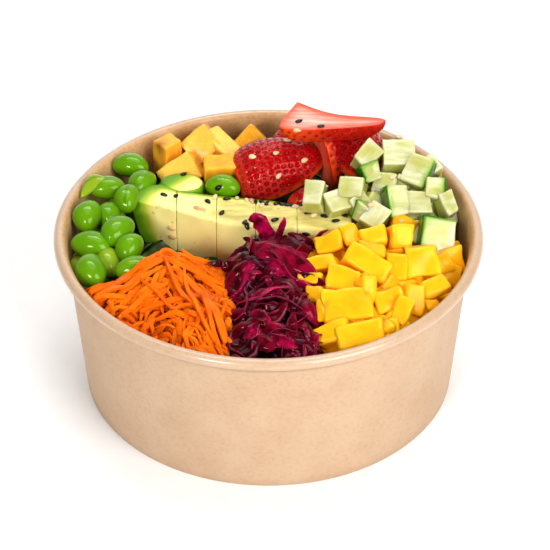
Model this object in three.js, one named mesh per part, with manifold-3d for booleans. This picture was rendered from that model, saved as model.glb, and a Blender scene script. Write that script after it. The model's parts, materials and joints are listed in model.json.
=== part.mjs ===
// A poke bowl: a round kraft paper bowl filled with edamame, pineapple, strawberries, cucumber,
// mango, red cabbage, carrot and avocado on a bed of leaves, with sesame seeds scattered on top.
// Millimetres, +Z up. The origin is on the bowl's axis at the level of its foot. The front is -Y.
//
// Toppings as large as a berry are meshes of their own. Each heap of small pieces is one mesh:
// a plain core with the pieces that show fused onto it.

import * as THREE from 'three';
import { mergeVertices } from 'three/addons/utils/BufferGeometryUtils.js';
import Module from 'manifold-3d';

// ---------------------------------------------------------------- driving dimensions

const RIM_DIAMETER = 165; // over the rolled rim
const FOOT_DIAMETER = 145; // over the foot
const BOWL_HEIGHT = 68;
const BEAD = 4.6; // section of the rolled rim
const PAPER = 0.6; // thickness of the wall
const FOOT_WIDTH = 1.6; // the wall folded round the base disc
const BASE_RECESS = 5; // height of the base disc above the foot
const BASE_THICKNESS = 0.8;
const ROUND = 48; // sides of the bowl

const GAP = 0.3; // clearance between touching pieces
const BED_LEVEL = 45; // mean height of the leaf bed
const CORE_BOTTOM = 49; // underside of the heaps' cores
const SEED_LENGTH = 3.5;
const SEED_WIDTH = 2.0;
const SEED_HEIGHT = 1.4;

const RIM_RADIUS = RIM_DIAMETER / 2;
const FOOT_RADIUS = FOOT_DIAMETER / 2;
const BEAD_RADIUS = BEAD / 2;
const BEAD_CENTRE = new THREE.Vector2(RIM_RADIUS - BEAD_RADIUS, BOWL_HEIGHT - BEAD_RADIUS);
const WALL_TOP = BEAD_CENTRE.x - BEAD_RADIUS + 0.2; // outer radius of the wall at the bead's centre
const WALL_SLOPE = (WALL_TOP - FOOT_RADIUS) / BEAD_CENTRE.y;
const DEGREE = Math.PI / 180;
const GOLDEN_ANGLE = 137.508 * DEGREE;

// ---------------------------------------------------------------- solids

const wasm = await Module();
wasm.setup();

// A seeded source of numbers from 0 to 1.
function randomSource(seed) {
  let state = seed >>> 0;
  return () => {
    state = (state + 0x6d2b79f5) >>> 0;
    let value = Math.imul(state ^ (state >>> 15), state | 1);
    value ^= value + Math.imul(value ^ (value >>> 7), value | 61);
    return ((value ^ (value >>> 14)) >>> 0) / 4294967296;
  };
}

function solidOf(geometry) {
  const bare = geometry.clone();
  bare.deleteAttribute('normal');
  bare.deleteAttribute('uv');
  const merged = mergeVertices(bare, 1e-4);
  const vertProperties = new Float32Array(merged.attributes.position.array);
  const triVerts = new Uint32Array(merged.index.array);
  return new wasm.Manifold(new wasm.Mesh({ numProp: 3, vertProperties, triVerts }));
}

function geometryOf(solid) {
  const mesh = solid.getMesh();
  const geometry = new THREE.BufferGeometry();
  geometry.setAttribute('position', new THREE.BufferAttribute(mesh.vertProperties, 3));
  geometry.setIndex(new THREE.BufferAttribute(mesh.triVerts, 1));
  geometry.computeVertexNormals();
  return geometry;
}

// The biggest of the separate bodies that a cut leaves, without the loose scraps.
function biggest(solid) {
  const bodies = solid.decompose();
  return bodies.reduce((best, body) => (body.volume() > best.volume() ? body : best));
}

function boxesMeet(first, second) {
  const a = first.boundingBox();
  const b = second.boundingBox();
  return [0, 1, 2].every((axis) => a.min[axis] < b.max[axis] && b.min[axis] < a.max[axis]);
}

// ---------------------------------------------------------------- shapes

// A box whose upper face is a little smaller and shifted, as hand-cut dice are.
function block(width, depth, height, taper = 1, shift = 0) {
  const geometry = new THREE.BoxGeometry(width, depth, height);
  const position = geometry.attributes.position;
  for (let i = 0; i < position.count; i += 1) {
    const upper = position.getZ(i) > 0;
    if (upper) {
      position.setX(i, position.getX(i) * taper + shift);
      position.setY(i, position.getY(i) * taper);
    }
  }
  return geometry;
}

// A bean: a ball stretched along x, fuller than an ellipse at its ends and bent sideways.
function bean(length, thickness, bend = 0.6) {
  const geometry = new THREE.SphereGeometry(1, 8, 6);
  geometry.rotateZ(90 * DEGREE);
  const position = geometry.attributes.position;
  for (let i = 0; i < position.count; i += 1) {
    const x = position.getX(i);
    const fuller = 1 + 0.1 * (1 - x * x);
    position.setX(i, (x * length) / 2);
    position.setY(i, (position.getY(i) * fuller * thickness) / 2 + bend * (1 - 2 * x * x));
    position.setZ(i, (position.getZ(i) * thickness) / 2);
  }
  return geometry;
}

// A strip of rectangular section along a curve, narrower at its ends, turning about its own line.
function strip(curve, width, thickness, steps, twist = 0, taper = 0.5) {
  const vertices = [];
  const triangles = [];
  const up = new THREE.Vector3(0, 0, 1);
  for (let i = 0; i <= steps; i += 1) {
    const t = i / steps;
    const point = curve.getPoint(t);
    const along = curve.getTangent(t);
    const side = new THREE.Vector3().crossVectors(up, along).normalize();
    const normal = new THREE.Vector3().crossVectors(along, side).normalize();
    side.applyAxisAngle(along, twist * t);
    normal.applyAxisAngle(along, twist * t);
    const half = (width / 2) * (1 - (1 - taper) * Math.abs(2 * t - 1) ** 3);
    for (const [across, out] of [[-1, -1], [1, -1], [1, 1], [-1, 1]]) {
      const corner = point.clone();
      corner.addScaledVector(side, across * half);
      corner.addScaledVector(normal, (out * thickness) / 2);
      vertices.push(corner.x, corner.y, corner.z);
    }
  }
  for (let i = 0; i < steps; i += 1) {
    for (let k = 0; k < 4; k += 1) {
      const a = 4 * i + k;
      const b = 4 * i + ((k + 1) % 4);
      triangles.push(a, b, b + 4, a, b + 4, a + 4);
    }
  }
  const last = 4 * steps;
  triangles.push(0, 2, 1, 0, 3, 2);
  triangles.push(last, last + 1, last + 2, last, last + 2, last + 3);
  const geometry = new THREE.BufferGeometry();
  geometry.setAttribute('position', new THREE.Float32BufferAttribute(vertices, 3));
  geometry.setIndex(triangles);
  return geometry;
}

// A whole strawberry lying along x: its stem end at -x cut flat, fullest near it, then tapering.
function berry(length, width) {
  const rings = 6;
  const hulled = 0.1; // share of the length that the flat cut takes off
  const profile = [new THREE.Vector2(0, -length / 2)];
  for (let i = 0; i <= rings; i += 1) {
    const along = Math.sin((90 * DEGREE * i) / rings);
    const t = hulled + (1 - hulled) * along;
    const radius = (width / 2) * Math.sqrt(4 * t * (1 - t)) * (1.2 - 0.5 * t);
    profile.push(new THREE.Vector2(i === rings ? 0 : radius, (along - 0.5) * length));
  }
  const geometry = new THREE.LatheGeometry(profile, 12);
  geometry.rotateZ(-90 * DEGREE);
  return geometry;
}

// A drop-shaped seed lying along x.
function seed() {
  const geometry = new THREE.SphereGeometry(1, 5, 4);
  geometry.rotateZ(90 * DEGREE);
  const position = geometry.attributes.position;
  for (let i = 0; i < position.count; i += 1) {
    const x = position.getX(i);
    position.setX(i, (x * SEED_LENGTH) / 2);
    position.setY(i, (position.getY(i) * (1 - 0.25 * x) * SEED_WIDTH) / 2);
    position.setZ(i, (position.getZ(i) * SEED_HEIGHT) / 2);
  }
  return geometry;
}

// ---------------------------------------------------------------- placing

// Lies along a direction: turned about z from +x, its far end tipped up, rolled about itself.
function lying(x, y, z, turn, tip = 0, roll = 0) {
  const matrix = new THREE.Matrix4().makeRotationZ(turn * DEGREE);
  matrix.multiply(new THREE.Matrix4().makeRotationY(-tip * DEGREE));
  matrix.multiply(new THREE.Matrix4().makeRotationX(roll * DEGREE));
  return matrix.setPosition(x, y, z);
}

// Puts a block's upper face where it shows: the face's centre is at x, y, z, it looks from the
// front towards `turn` and up by `rise`, and it is spun in its own plane.
function facing(x, y, z, depth, turn, rise, spin) {
  const matrix = new THREE.Matrix4().makeRotationZ(turn * DEGREE);
  matrix.multiply(new THREE.Matrix4().makeRotationX((90 - rise) * DEGREE));
  matrix.multiply(new THREE.Matrix4().makeRotationZ(spin * DEGREE));
  const centre = new THREE.Vector3(0, 0, -depth / 2).applyMatrix4(matrix);
  return matrix.setPosition(x + centre.x, y + centre.y, z + centre.z);
}

// A piece knows its solid and the same solid grown by the clearance, which cuts its neighbours.
function piece(makeShape, matrix) {
  return {
    solid: solidOf(makeShape(0).applyMatrix4(matrix)),
    keepOut: solidOf(makeShape(2 * GAP).applyMatrix4(matrix)),
  };
}

function beanPiece([x, y, z, length, thickness, turn, tip]) {
  return piece((grow) => bean(length + grow, thickness + grow), lying(x, y, z, turn, tip));
}

function dicePiece([x, y, z, width, height, depth, turn, rise, spin, taper = 0.94]) {
  const shape = (grow) => block(width + grow, height + grow, depth + grow, taper);
  return piece(shape, facing(x, y, z, depth, turn, rise, spin));
}

function stripPiece(points, width, thickness, twist, steps = 6) {
  const curve = new THREE.CatmullRomCurve3(points);
  const shape = (grow) => strip(curve, width + grow, thickness + grow, steps, twist);
  return piece(shape, new THREE.Matrix4());
}

// ---------------------------------------------------------------- bowl

function innerRadius(z) {
  return FOOT_RADIUS - PAPER + WALL_SLOPE * z;
}

// Section: base disc, foot, slanted wall, rolled bead, inside of the wall, top of the base disc.
function bowlGeometry() {
  const profile = [
    new THREE.Vector2(0, BASE_RECESS),
    new THREE.Vector2(FOOT_RADIUS - FOOT_WIDTH, BASE_RECESS),
    new THREE.Vector2(FOOT_RADIUS - FOOT_WIDTH, 0),
    new THREE.Vector2(FOOT_RADIUS, 0),
  ];
  const beadSteps = 8;
  const open = 50; // degrees of the bead's circle that the wall closes
  for (let i = 0; i <= beadSteps; i += 1) {
    const angle = (open / 2 - 180 + ((360 - open) * i) / beadSteps) * DEGREE;
    const spoke = new THREE.Vector2(Math.cos(angle), Math.sin(angle));
    profile.push(spoke.multiplyScalar(BEAD_RADIUS).add(BEAD_CENTRE));
  }
  const wallEnd = BOWL_HEIGHT - 1.4 * BEAD_RADIUS;
  profile.push(new THREE.Vector2(innerRadius(wallEnd), wallEnd));
  const floor = BASE_RECESS + BASE_THICKNESS;
  profile.push(new THREE.Vector2(innerRadius(floor), floor));
  profile.push(new THREE.Vector2(0, floor));
  const geometry = new THREE.LatheGeometry(profile, ROUND);
  geometry.rotateX(90 * DEGREE);
  return geometry;
}

// The space inside the bowl and above it, less the clearance to the wall.
function insideGeometry() {
  const floor = BASE_RECESS + BASE_THICKNESS + GAP;
  const top = 2 * BOWL_HEIGHT; // over everything that the bowl holds
  const widest = innerRadius(BOWL_HEIGHT - BEAD) - GAP;
  const profile = [
    new THREE.Vector2(0, floor),
    new THREE.Vector2(innerRadius(floor) - GAP, floor),
    new THREE.Vector2(widest, BOWL_HEIGHT - BEAD),
    new THREE.Vector2(widest, top),
    new THREE.Vector2(0, top),
  ];
  const geometry = new THREE.LatheGeometry(profile, ROUND);
  geometry.rotateX(90 * DEGREE);
  return geometry;
}

const inside = solidOf(insideGeometry());

// ---------------------------------------------------------------- leaf bed

// Height of the bed: highest under the strawberries, creased like leaves.
function bedHeight(x, y) {
  const mound = 12 * Math.exp(-((x - 8) ** 2 + (y - 44) ** 2) / 480);
  const crease = 1.1 * Math.sin(0.21 * x + 0.6) * Math.cos(0.19 * y);
  const curl = 0.8 * Math.sin(0.11 * x - 0.27 * y);
  return BED_LEVEL + mound + crease + curl;
}

// A disc from the bowl's floor up to the bed's height, on a polar grid of points.
function bedSolid() {
  const rings = 6;
  const sides = 24;
  const reach = RIM_RADIUS; // cut to the inside of the bowl afterwards
  const floor = BASE_RECESS + BASE_THICKNESS + GAP;
  const vertices = [0, 0, floor, 0, 0, bedHeight(0, 0)];
  const triangles = [];
  for (let ring = 1; ring <= rings; ring += 1) {
    for (let k = 0; k < sides; k += 1) {
      const radius = (reach * ring) / rings;
      const x = radius * Math.cos((2 * Math.PI * k) / sides);
      const y = radius * Math.sin((2 * Math.PI * k) / sides);
      vertices.push(x, y, bedHeight(x, y));
    }
  }
  const point = (ring, k) => 2 + (ring - 1) * sides + (k % sides);
  const lower = vertices.length / 3;
  for (let k = 0; k < sides; k += 1) {
    const angle = (2 * Math.PI * k) / sides;
    vertices.push(reach * Math.cos(angle), reach * Math.sin(angle), floor);
  }
  for (let k = 0; k < sides; k += 1) {
    const next = (k + 1) % sides;
    triangles.push(1, point(1, k), point(1, k + 1));
    for (let ring = 1; ring < rings; ring += 1) {
      const [a, b] = [point(ring, k), point(ring, k + 1)];
      const [c, d] = [point(ring + 1, k), point(ring + 1, k + 1)];
      triangles.push(a, c, d, a, d, b);
    }
    triangles.push(point(rings, k), lower + k, lower + next);
    triangles.push(point(rings, k), lower + next, point(rings, k + 1));
    triangles.push(0, lower + next, lower + k);
  }
  const geometry = new THREE.BufferGeometry();
  geometry.setAttribute('position', new THREE.Float32BufferAttribute(vertices, 3));
  geometry.setIndex(triangles);
  return solidOf(geometry).intersect(inside);
}

// ---------------------------------------------------------------- edamame

// x, y, z of the middle, length, thickness, turn, tip
const EDAMAME = [
  [-55, 45, 65, 14.8, 9.6, -12, 0],
  [-50, 33, 65, 13.5, 9.4, 55, 0],
  [-63, 27, 67, 14, 9, 6, 0],
  [-55, 20, 67, 13, 9, 80, 15],
  [-70, 11, 65, 14, 10.4, 80, 18],
  [-62, 15, 63, 12, 9, 75, 0],
  [-58, 0, 66, 15.6, 10.6, 52, 4],
  [-68, -5, 63, 16, 10.4, -14, 0],
  [-53, -8, 64, 12.5, 9.8, 60, 20],
  [-61, -12, 60, 13, 9, 100, 20],
  [-67, -21, 63, 15.5, 10.8, 105, 10],
  [-50, -20, 63, 16.5, 9.4, 4, 0],
  [-72, -9, 55, 12, 9, 90, 0],
];
const HUSK = [-69.5, 27, 69, 12, 4.2, 30, 42];
const LONE_BEAN = [-18, 29.5, 66, 14, 9, -12, 0];

// ---------------------------------------------------------------- pineapple

// Middle x, y, z, width, depth, height, turn, tip, roll, taper, shift of the upper face
const PINEAPPLE = [
  [-40.5, 53, 64, 8.6, 8, 16, 42, 0, 0, 0.96, 0],
  [-26.5, 60, 64.8, 13, 12.5, 13, 20, 35, 45, 0.98, 0],
  [-18.5, 56, 65, 20, 9, 9, -48, -15, 0, 0.95, 0],
  [-34.5, 46, 60, 16, 13, 13, 14, 32, 44, 0.98, 0],
  [-19, 41, 64, 14, 9, 14, 6, 0, 8, 0.97, 0],
  [-7.2, 60.5, 64, 13, 12.5, 13, 30, 35, 45, 0.98, 0],
  [-8, 50, 61, 8, 7, 9, 20, 0, 0, 0.95, 0],
];

// ---------------------------------------------------------------- strawberries

// A berry cut in half along its length, lying on its flat side.
function halfBerry(length, width, thickness, matrix) {
  const shape = (grow) => {
    const whole = solidOf(berry(length + grow, width + grow));
    const keep = new THREE.BoxGeometry(2 * length, 2 * width, thickness + grow);
    keep.translate(0, 0, thickness / 2);
    return geometryOf(whole.intersect(solidOf(keep)));
  };
  return piece(shape, matrix);
}

// Middle of the flat side x, y, z, length, width, thickness, turn, tip, roll
const STRAWBERRIES = [
  [5, 44, 64.5, 37, 28, 16, 12, 12, 16],
  [20.8, 44.6, 68.8, 26, 26, 14, -61, -49, -81],
  [38, 43, 68, 30, 25, 14, 300, 0, 0],
  [8, 61, 66, 18, 14, 11, 80, 0, 0],
  [14, 23, 64, 14, 11, 7, 200, 0, 0],
];

// The slice on top: a quarter berry whose flat side looks up, its skin at the front and below.
const SLICE_THICKNESS = 7;
const SLICE_TOP = 88;
const SLICE_OUTLINE = [
  [11, 57], [5, 44], [4.5, 38.4], [12, 36.8], [24, 37.4], [36, 39], [44.6, 41], [45, 45], [29, 47.5],
  [20, 51],
];

function strawberrySlice(grow) {
  const outline = new THREE.Shape(SLICE_OUTLINE.map(([x, y]) => new THREE.Vector2(x, y)));
  const depth = SLICE_THICKNESS + grow;
  const geometry = new THREE.ExtrudeGeometry(outline, { depth, bevelEnabled: false });
  const position = geometry.attributes.position;
  const middle = new THREE.Vector2(24, 47);
  for (let i = 0; i < position.count; i += 1) {
    const lower = position.getZ(i) < depth / 2;
    const scale = lower ? 0.8 : 1 + grow / 20;
    position.setX(i, middle.x + scale * (position.getX(i) - middle.x));
    position.setY(i, middle.y + scale * (position.getY(i) - middle.y));
  }
  return geometry.translate(0, 0, SLICE_TOP - SLICE_THICKNESS - grow / 2);
}

// ---------------------------------------------------------------- avocado

// A quarter avocado lies along x with one cut side at the front and the other on top. Each row
// is a section: x, y of the upper front edge, y of the upper rear edge, height.
const AVOCADO_SECTIONS = [
  [-53.6, 20.4, 21, 2], [-53, 20.2, 23.5, 6], [-51, 19.4, 27.5, 15], [-47.5, 18.4, 31, 21],
  [-42, 16.4, 31.5, 24], [-36, 14, 27.5, 24], [-27, 9.6, 25, 24], [-18, 5.2, 23.6, 24],
  [-6, 3.4, 21.6, 24], [10, 2.6, 18.4, 24], [24, 2.2, 14.6, 23], [32, 2, 10.6, 20],
];
const AVOCADO_TOP = 66;
const AVOCADO_CUTS = [-36, -20.3, -5, 11]; // x of the crosswise cuts
const AVOCADO_CUT_WIDTH = 0.5;

// The whole quarter: its section is bounded by the front, the top and the round rind side.
function quarterAvocado(grow) {
  const vertices = [];
  const triangles = [];
  const side = 7;
  const half = grow / 2;
  AVOCADO_SECTIONS.forEach(([x, front, rear, height], row) => {
    const end = row === 0 ? -half : row === AVOCADO_SECTIONS.length - 1 ? half : 0;
    vertices.push(x + end, front - half, AVOCADO_TOP + half);
    for (let k = 0; k < side - 1; k += 1) {
      const angle = (k / (side - 2)) * 90 * DEGREE;
      const y = front + (rear - front) * Math.cos(angle) ** 0.7 + half;
      const z = AVOCADO_TOP + half - (height + grow) * Math.sin(angle);
      vertices.push(x + end, k === side - 2 ? front - half : y, z);
    }
  });
  const last = AVOCADO_SECTIONS.length - 1;
  for (let row = 0; row < last; row += 1) {
    for (let k = 0; k < side; k += 1) {
      const a = row * side + k;
      const b = row * side + ((k + 1) % side);
      triangles.push(a, b + side, b, a, a + side, b + side);
    }
  }
  for (let k = 1; k < side - 1; k += 1) {
    triangles.push(0, k, k + 1);
    triangles.push(last * side, last * side + k + 1, last * side + k);
  }
  const geometry = new THREE.BufferGeometry();
  geometry.setAttribute('position', new THREE.Float32BufferAttribute(vertices, 3));
  geometry.setIndex(triangles);
  return geometry;
}

// The part of the quarter between two crosswise cuts.
function avocadoPiece(index) {
  const from = index === 0 ? -80 : AVOCADO_CUTS[index - 1] + AVOCADO_CUT_WIDTH / 2;
  const to = index === AVOCADO_CUTS.length ? 80 : AVOCADO_CUTS[index] - AVOCADO_CUT_WIDTH / 2;
  const slab = (grow) => {
    const box = new THREE.BoxGeometry(to - from + grow, 100, 100);
    return solidOf(box.translate((from + to) / 2, 10, AVOCADO_TOP));
  };
  const shape = (grow) => geometryOf(solidOf(quarterAvocado(grow)).intersect(slab(grow / 2)));
  return piece(shape, new THREE.Matrix4());
}

// The end slice behind: an oval disc on edge of the bed, middle x, y, top, half width, half depth, height
const AVOCADO_END = [-34.5, 33, 66.5, 9.5, 7, 17];

function avocadoEnd([x, y, top, wide, deep, height]) {
  const shape = (grow) => {
    const disc = new THREE.CylinderGeometry(1, 0.75, height + grow, 14);
    disc.rotateX(90 * DEGREE);
    return disc.scale(wide + grow / 2, deep + grow / 2, 1);
  };
  return piece(shape, lying(x, y, top - height / 2, 0, -3));
}

// ---------------------------------------------------------------- cucumber

// Middle of the face that shows x, y, z, width, height, depth, turn, rise, spin
const CUCUMBER = [
  [39, 30, 82, 12, 7, 8, 0, 45, 40],
  [40, 23, 78, 8, 8, 8, 20, 45, 10],
  [17, 12, 76, 8, 11, 8, -15, 45, 20],
  [27, 11, 73, 10, 9, 9, 0, 45, 12],
  [32, 15, 77, 10, 9, 9, 0, 50, 18],
  [36, 10, 72, 8, 9, 8, 25, 45, 20],
  [35, 5, 71, 7, 8, 8, -40, 30, 0],
  [41, 3, 72, 10, 9, 9, 0, 45, 45],
  [51, 33, 80, 14, 11, 10, 0, 60, -6],
  [63, 28, 78, 9, 9, 9, 0, 50, 30],
  [58, 24, 78, 11, 13, 10, -10, 45, -14],
  [45, 22, 74, 10, 10, 10, -20, 45, 10],
  [50, 9, 74, 9, 13, 9, 20, 40, -4],
  [58, 11, 72, 11, 8, 9, 0, 40, -8],
  [65, 16, 75, 8, 9, 8, 20, 50, -20],
  [70, 12, 71, 6, 10, 7, 30, 50, 0],
  [65, -5, 67, 14, 16, 10, 12, 40, -15],
  [71, 20, 60, 8, 10, 9, 20, 45, 0],
  [42, 13, 70, 9, 9, 9, 40, 45, 30],
  [54, 14, 66, 10, 10, 10, 10, 40, 0],
];

// ---------------------------------------------------------------- mango

// Middle of the face that shows x, y, z, width, height, depth, turn, rise, spin
const MANGO = [
  [23, -12, 70, 11, 8, 9, 0, 42, 18],
  [31, -8, 70, 7, 9, 8, 0, 45, 20],
  [40, -9, 71, 11, 7, 9, 0, 60, 10],
  [51, -10, 71, 9, 9, 9, 20, 40, -8],
  [52, 3, 67, 11, 8, 8, 0, 50, -20],
  [39, -18, 71, 12, 6, 9, 0, 60, -8],
  [37, -25, 71, 19, 9, 9, 0, 48, -28],
  [19, -25, 70, 14, 6, 9, -10, 55, 22],
  [15, -30, 67, 10, 5, 8, -20, 50, 0],
  [28, -33, 69, 13, 10, 9, 0, 55, -10],
  [17, -38, 65, 7, 6, 8, -30, 45, 20],
  [29, -46, 67, 19, 13, 9, 0, 55, 8],
  [38, -40, 69, 6, 10, 8, 30, 40, -10],
  [45, -42, 66, 12, 9, 9, 0, 45, 14],
  [48, -25, 68, 9, 12, 9, -10, 45, 6],
  [58, -23, 69, 12.5, 13, 9, 0, 42, 6],
  [67, -17, 64, 6, 9, 8, 30, 40, 0],
  [71, -13, 62, 8, 10, 8, 20, 40, 0],
  [63, -33, 65, 12, 8, 8, 20, 50, 10],
  [55, -40, 64, 9, 12, 8, 20, 45, -20],
  [61.5, -39, 61, 6, 5, 7, 20, 45, 0],
  [49.5, -47, 65, 7, 10, 8, -10, 45, -16],
  [45, -54, 62, 8, 7, 8, 0, 45, 10],
  [20, -47, 65, 6, 9, 8, -20, 45, 20],
  [23, -57, 62, 13, 8, 8, -20, 45, 30],
  [34, -59, 63, 17, 11, 9, 8, 52, 6],
  [72.5, -1, 58, 5, 7, 8, 20, 45, 0],
];

// ---------------------------------------------------------------- heaps

// Each heap fills a region, outlined as x, y, under its peaks: x, y, top, half width, half depth.
// Its top falls by PEAK_FALL at the half width or depth of the highest peak there, and behind
// y = back it slopes down towards the avocado.
const PEAK_FALL = 10;
const BACK_SLOPE = 0.8;
const HEAPS = {
  edamame: {
    region: [
      [-82, -35], [-67, -32], [-56, -27], [-42, -25], [-42, -12], [-49, 2], [-55, 18], [-46, 36],
      [-47, 50], [-82, 50],
    ],
    peaks: [[-60, 12, 63, 60, 120]],
    back: 80,
    drop: 0,
  },
  carrot: {
    region: [
      [-82, -35.6], [-67, -32.6], [-56, -27.6], [-41.4, -25.6], [-41.4, -12.2], [-44.6, -5],
      [-44.6, 6], [-36, 6], [-13.4, -4], [-13.4, -82], [-82, -82],
    ],
    peaks: [[-38, -22, 70, 22, 26], [-62, -37, 65.5, 24, 24], [-28, -44, 65.5, 26, 26]],
    back: -9,
    drop: 2,
  },
  cabbage: {
    region: [[-12.8, 6], [12, 6], [12, -30], [25, -82], [-12.8, -82]],
    peaks: [[0, -18, 73, 14, 20], [3, -44, 67, 22, 26]],
    back: -6,
    drop: 2.2,
  },
  mango: {
    region: [
      [12.6, 4], [30.4, 4], [30.4, -0.6], [54, -2], [58, -8], [82, -8], [82, -82], [25.6, -82],
      [12.6, -30],
    ],
    peaks: [[40, -14, 67, 40, 34], [36, -46, 63, 34, 26]],
    back: -3,
    drop: 0,
  },
  cucumber: {
    region: [
      [31, 24], [31, 0], [54, -1.4], [58, -7.4], [70, -7.4], [70, 24], [60, 44], [46, 52],
    ],
    peaks: [[50, 24, 73, 24, 28], [40, 10, 69, 26, 20]],
    back: 80,
    drop: 0,
  },
};

// Height of a heap's top over x, y.
function heapHeight({ peaks, back }, x, y) {
  const heights = peaks.map(([cx, cy, top, wide, deep]) => {
    const away = Math.hypot((x - cx) / wide, (Math.min(y, back) - cy) / deep);
    return top - PEAK_FALL * away ** 1.5;
  });
  return Math.max(...heights) - BACK_SLOPE * Math.max(0, y - back);
}

// A heap's core: a grid of points a little below its top, closed by a flat underside, cut to the
// region and to the inside of the bowl.
function heapCore(heap, grow = 0) {
  const cell = 8;
  const cells = 21;
  const at = (i, j) => i * (cells + 1) + j;
  const vertices = [];
  const triangles = [];
  for (let i = 0; i <= cells; i += 1) {
    for (let j = 0; j <= cells; j += 1) {
      const x = (i - cells / 2) * cell;
      const y = (j - cells / 2) * cell;
      const top = Math.max(heapHeight(heap, x, y) - heap.drop, CORE_BOTTOM + 2);
      vertices.push(x, y, top + grow);
    }
  }
  for (let i = 0; i < cells; i += 1) {
    for (let j = 0; j < cells; j += 1) {
      const [a, b, c, d] = [at(i, j), at(i + 1, j), at(i + 1, j + 1), at(i, j + 1)];
      triangles.push(a, b, c, a, c, d);
    }
  }
  const edge = [];
  for (let i = 0; i < cells; i += 1) edge.push(at(i, 0));
  for (let j = 0; j < cells; j += 1) edge.push(at(cells, j));
  for (let i = cells; i > 0; i -= 1) edge.push(at(i, cells));
  for (let j = cells; j > 0; j -= 1) edge.push(at(0, j));
  const middle = vertices.length / 3;
  vertices.push(0, 0, CORE_BOTTOM - grow);
  const under = middle + 1;
  edge.forEach((a, k) => {
    const next = (k + 1) % edge.length;
    vertices.push(vertices[3 * a], vertices[3 * a + 1], CORE_BOTTOM - grow);
    triangles.push(a, under + k, under + next, a, under + next, edge[next]);
    triangles.push(middle, under + next, under + k);
  });
  const geometry = new THREE.BufferGeometry();
  geometry.setAttribute('position', new THREE.Float32BufferAttribute(vertices, 3));
  geometry.setIndex(triangles);
  const outline = new THREE.Shape(heap.region.map(([x, y]) => new THREE.Vector2(x, y)));
  const prism = new THREE.ExtrudeGeometry(outline, { depth: 60, bevelEnabled: false });
  prism.translate(0, 0, CORE_BOTTOM - 1);
  return solidOf(geometry).intersect(solidOf(prism)).intersect(inside);
}

// A shred that arches over the top of its heap, both ends in the core: its middle is at x, y, it
// runs towards `turn` and curves by `bend`.
function shredPoints(heap, [x, y, lift, turn, length, bend]) {
  const points = [];
  for (let i = -2; i <= 2; i += 1) {
    const along = (i / 4) * length;
    const angle = (turn + (bend * i) / 4) * DEGREE;
    const px = x + along * Math.cos(angle);
    const py = y + along * Math.sin(angle);
    const dip = (heap.drop + lift + 0.8) * (i / 2) ** 2;
    points.push(new THREE.Vector3(px, py, heapHeight(heap, px, py) + lift - dip));
  }
  return points;
}

// Shreds by rule: spread over the heap on a sunflower spiral, with seeded turns and lengths.
function scatterShreds(random, count, centre, reach, turnOf, lengths) {
  const rows = [];
  for (let i = 0; i < count; i += 1) {
    const radius = Math.sqrt((i + 0.5) / count);
    const angle = i * GOLDEN_ANGLE;
    const x = centre[0] + reach[0] * radius * Math.cos(angle);
    const y = centre[1] + reach[1] * radius * Math.sin(angle);
    const turn = turnOf(x, y) + 50 * (random() - 0.5);
    const length = lengths[0] + (lengths[1] - lengths[0]) * random();
    rows.push([x, y, random(), turn, length, 50 * (random() - 0.5)]);
  }
  return rows;
}

// Shreds that show most, as x, y, lift over the heap, turn, length, bend
const CARROT_SHREDS = [
  [-40, -24, 1, 20, 30, 20],
  [-55, -34, 1.5, 35, 32, 10],
  [-26, -26, 1, -30, 28, -20],
  [-28, -44, 2, -70, 40, 20],
  [-42, -38, 1.5, -50, 30, 10],
  [-60, -40, 1, 15, 20, 0],
];
const CABBAGE_SHREDS = [
  [-5, -12, 2, 80, 20, 30],
  [6, -24, 3, -35, 26, 10],
  [1, -8, 5, 60, 16, 0],
  [0, -40, 2, 20, 24, 40],
];

function carrotPieces() {
  const turnOf = (x) => (x < -42 ? 40 : -50);
  const ruled = scatterShreds(randomSource(11), 11, [-38, -44], [30, 28], turnOf, [16, 28]);
  const rows = [...CARROT_SHREDS, ...ruled];
  return rows.map((row) => stripPiece(shredPoints(HEAPS.carrot, row), 2.2, 2, 0.3, 4));
}

function cabbagePieces() {
  const turnOf = (x, y) => (7 * x + 11 * y) % 180;
  const ruled = scatterShreds(randomSource(5), 12, [2, -42], [15, 32], turnOf, [12, 22]);
  const rows = [...CABBAGE_SHREDS, ...ruled];
  return rows.map((row) => stripPiece(shredPoints(HEAPS.cabbage, row), 4, 1.3, 0.8, 4));
}

// ---------------------------------------------------------------- sesame

// x, y of each seed and its turn
const SEEDS = [
  [-41, 22, 30], [-36, 21, 80], [-30, 38, 60], [-24, 17, 80], [-17, 17, -60], [-18, 10, -40],
  [-5, 17, 0], [0, 17, 0], [6, 17, 10], [11, 16, 0], [-9, 6, 20], [3, 8, 80], [16, 13, 0],
  [22, 12, 0], [29, 12, 30], [11, 47, 10], [20, 45, 0], [-22, 18, 20], [-28, 15, 60],
  [-4, 12, 70], [10, 11, 10], [15, 8, 50], [-15, 21, 0], [-11, 20, -20], [-7, 19, 10],
  [4, 40, 20], [0, 47, -30], [-7, 36, 50], [5, 33, 20], [14, 36, 80], [20, 31, 10],
];

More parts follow.
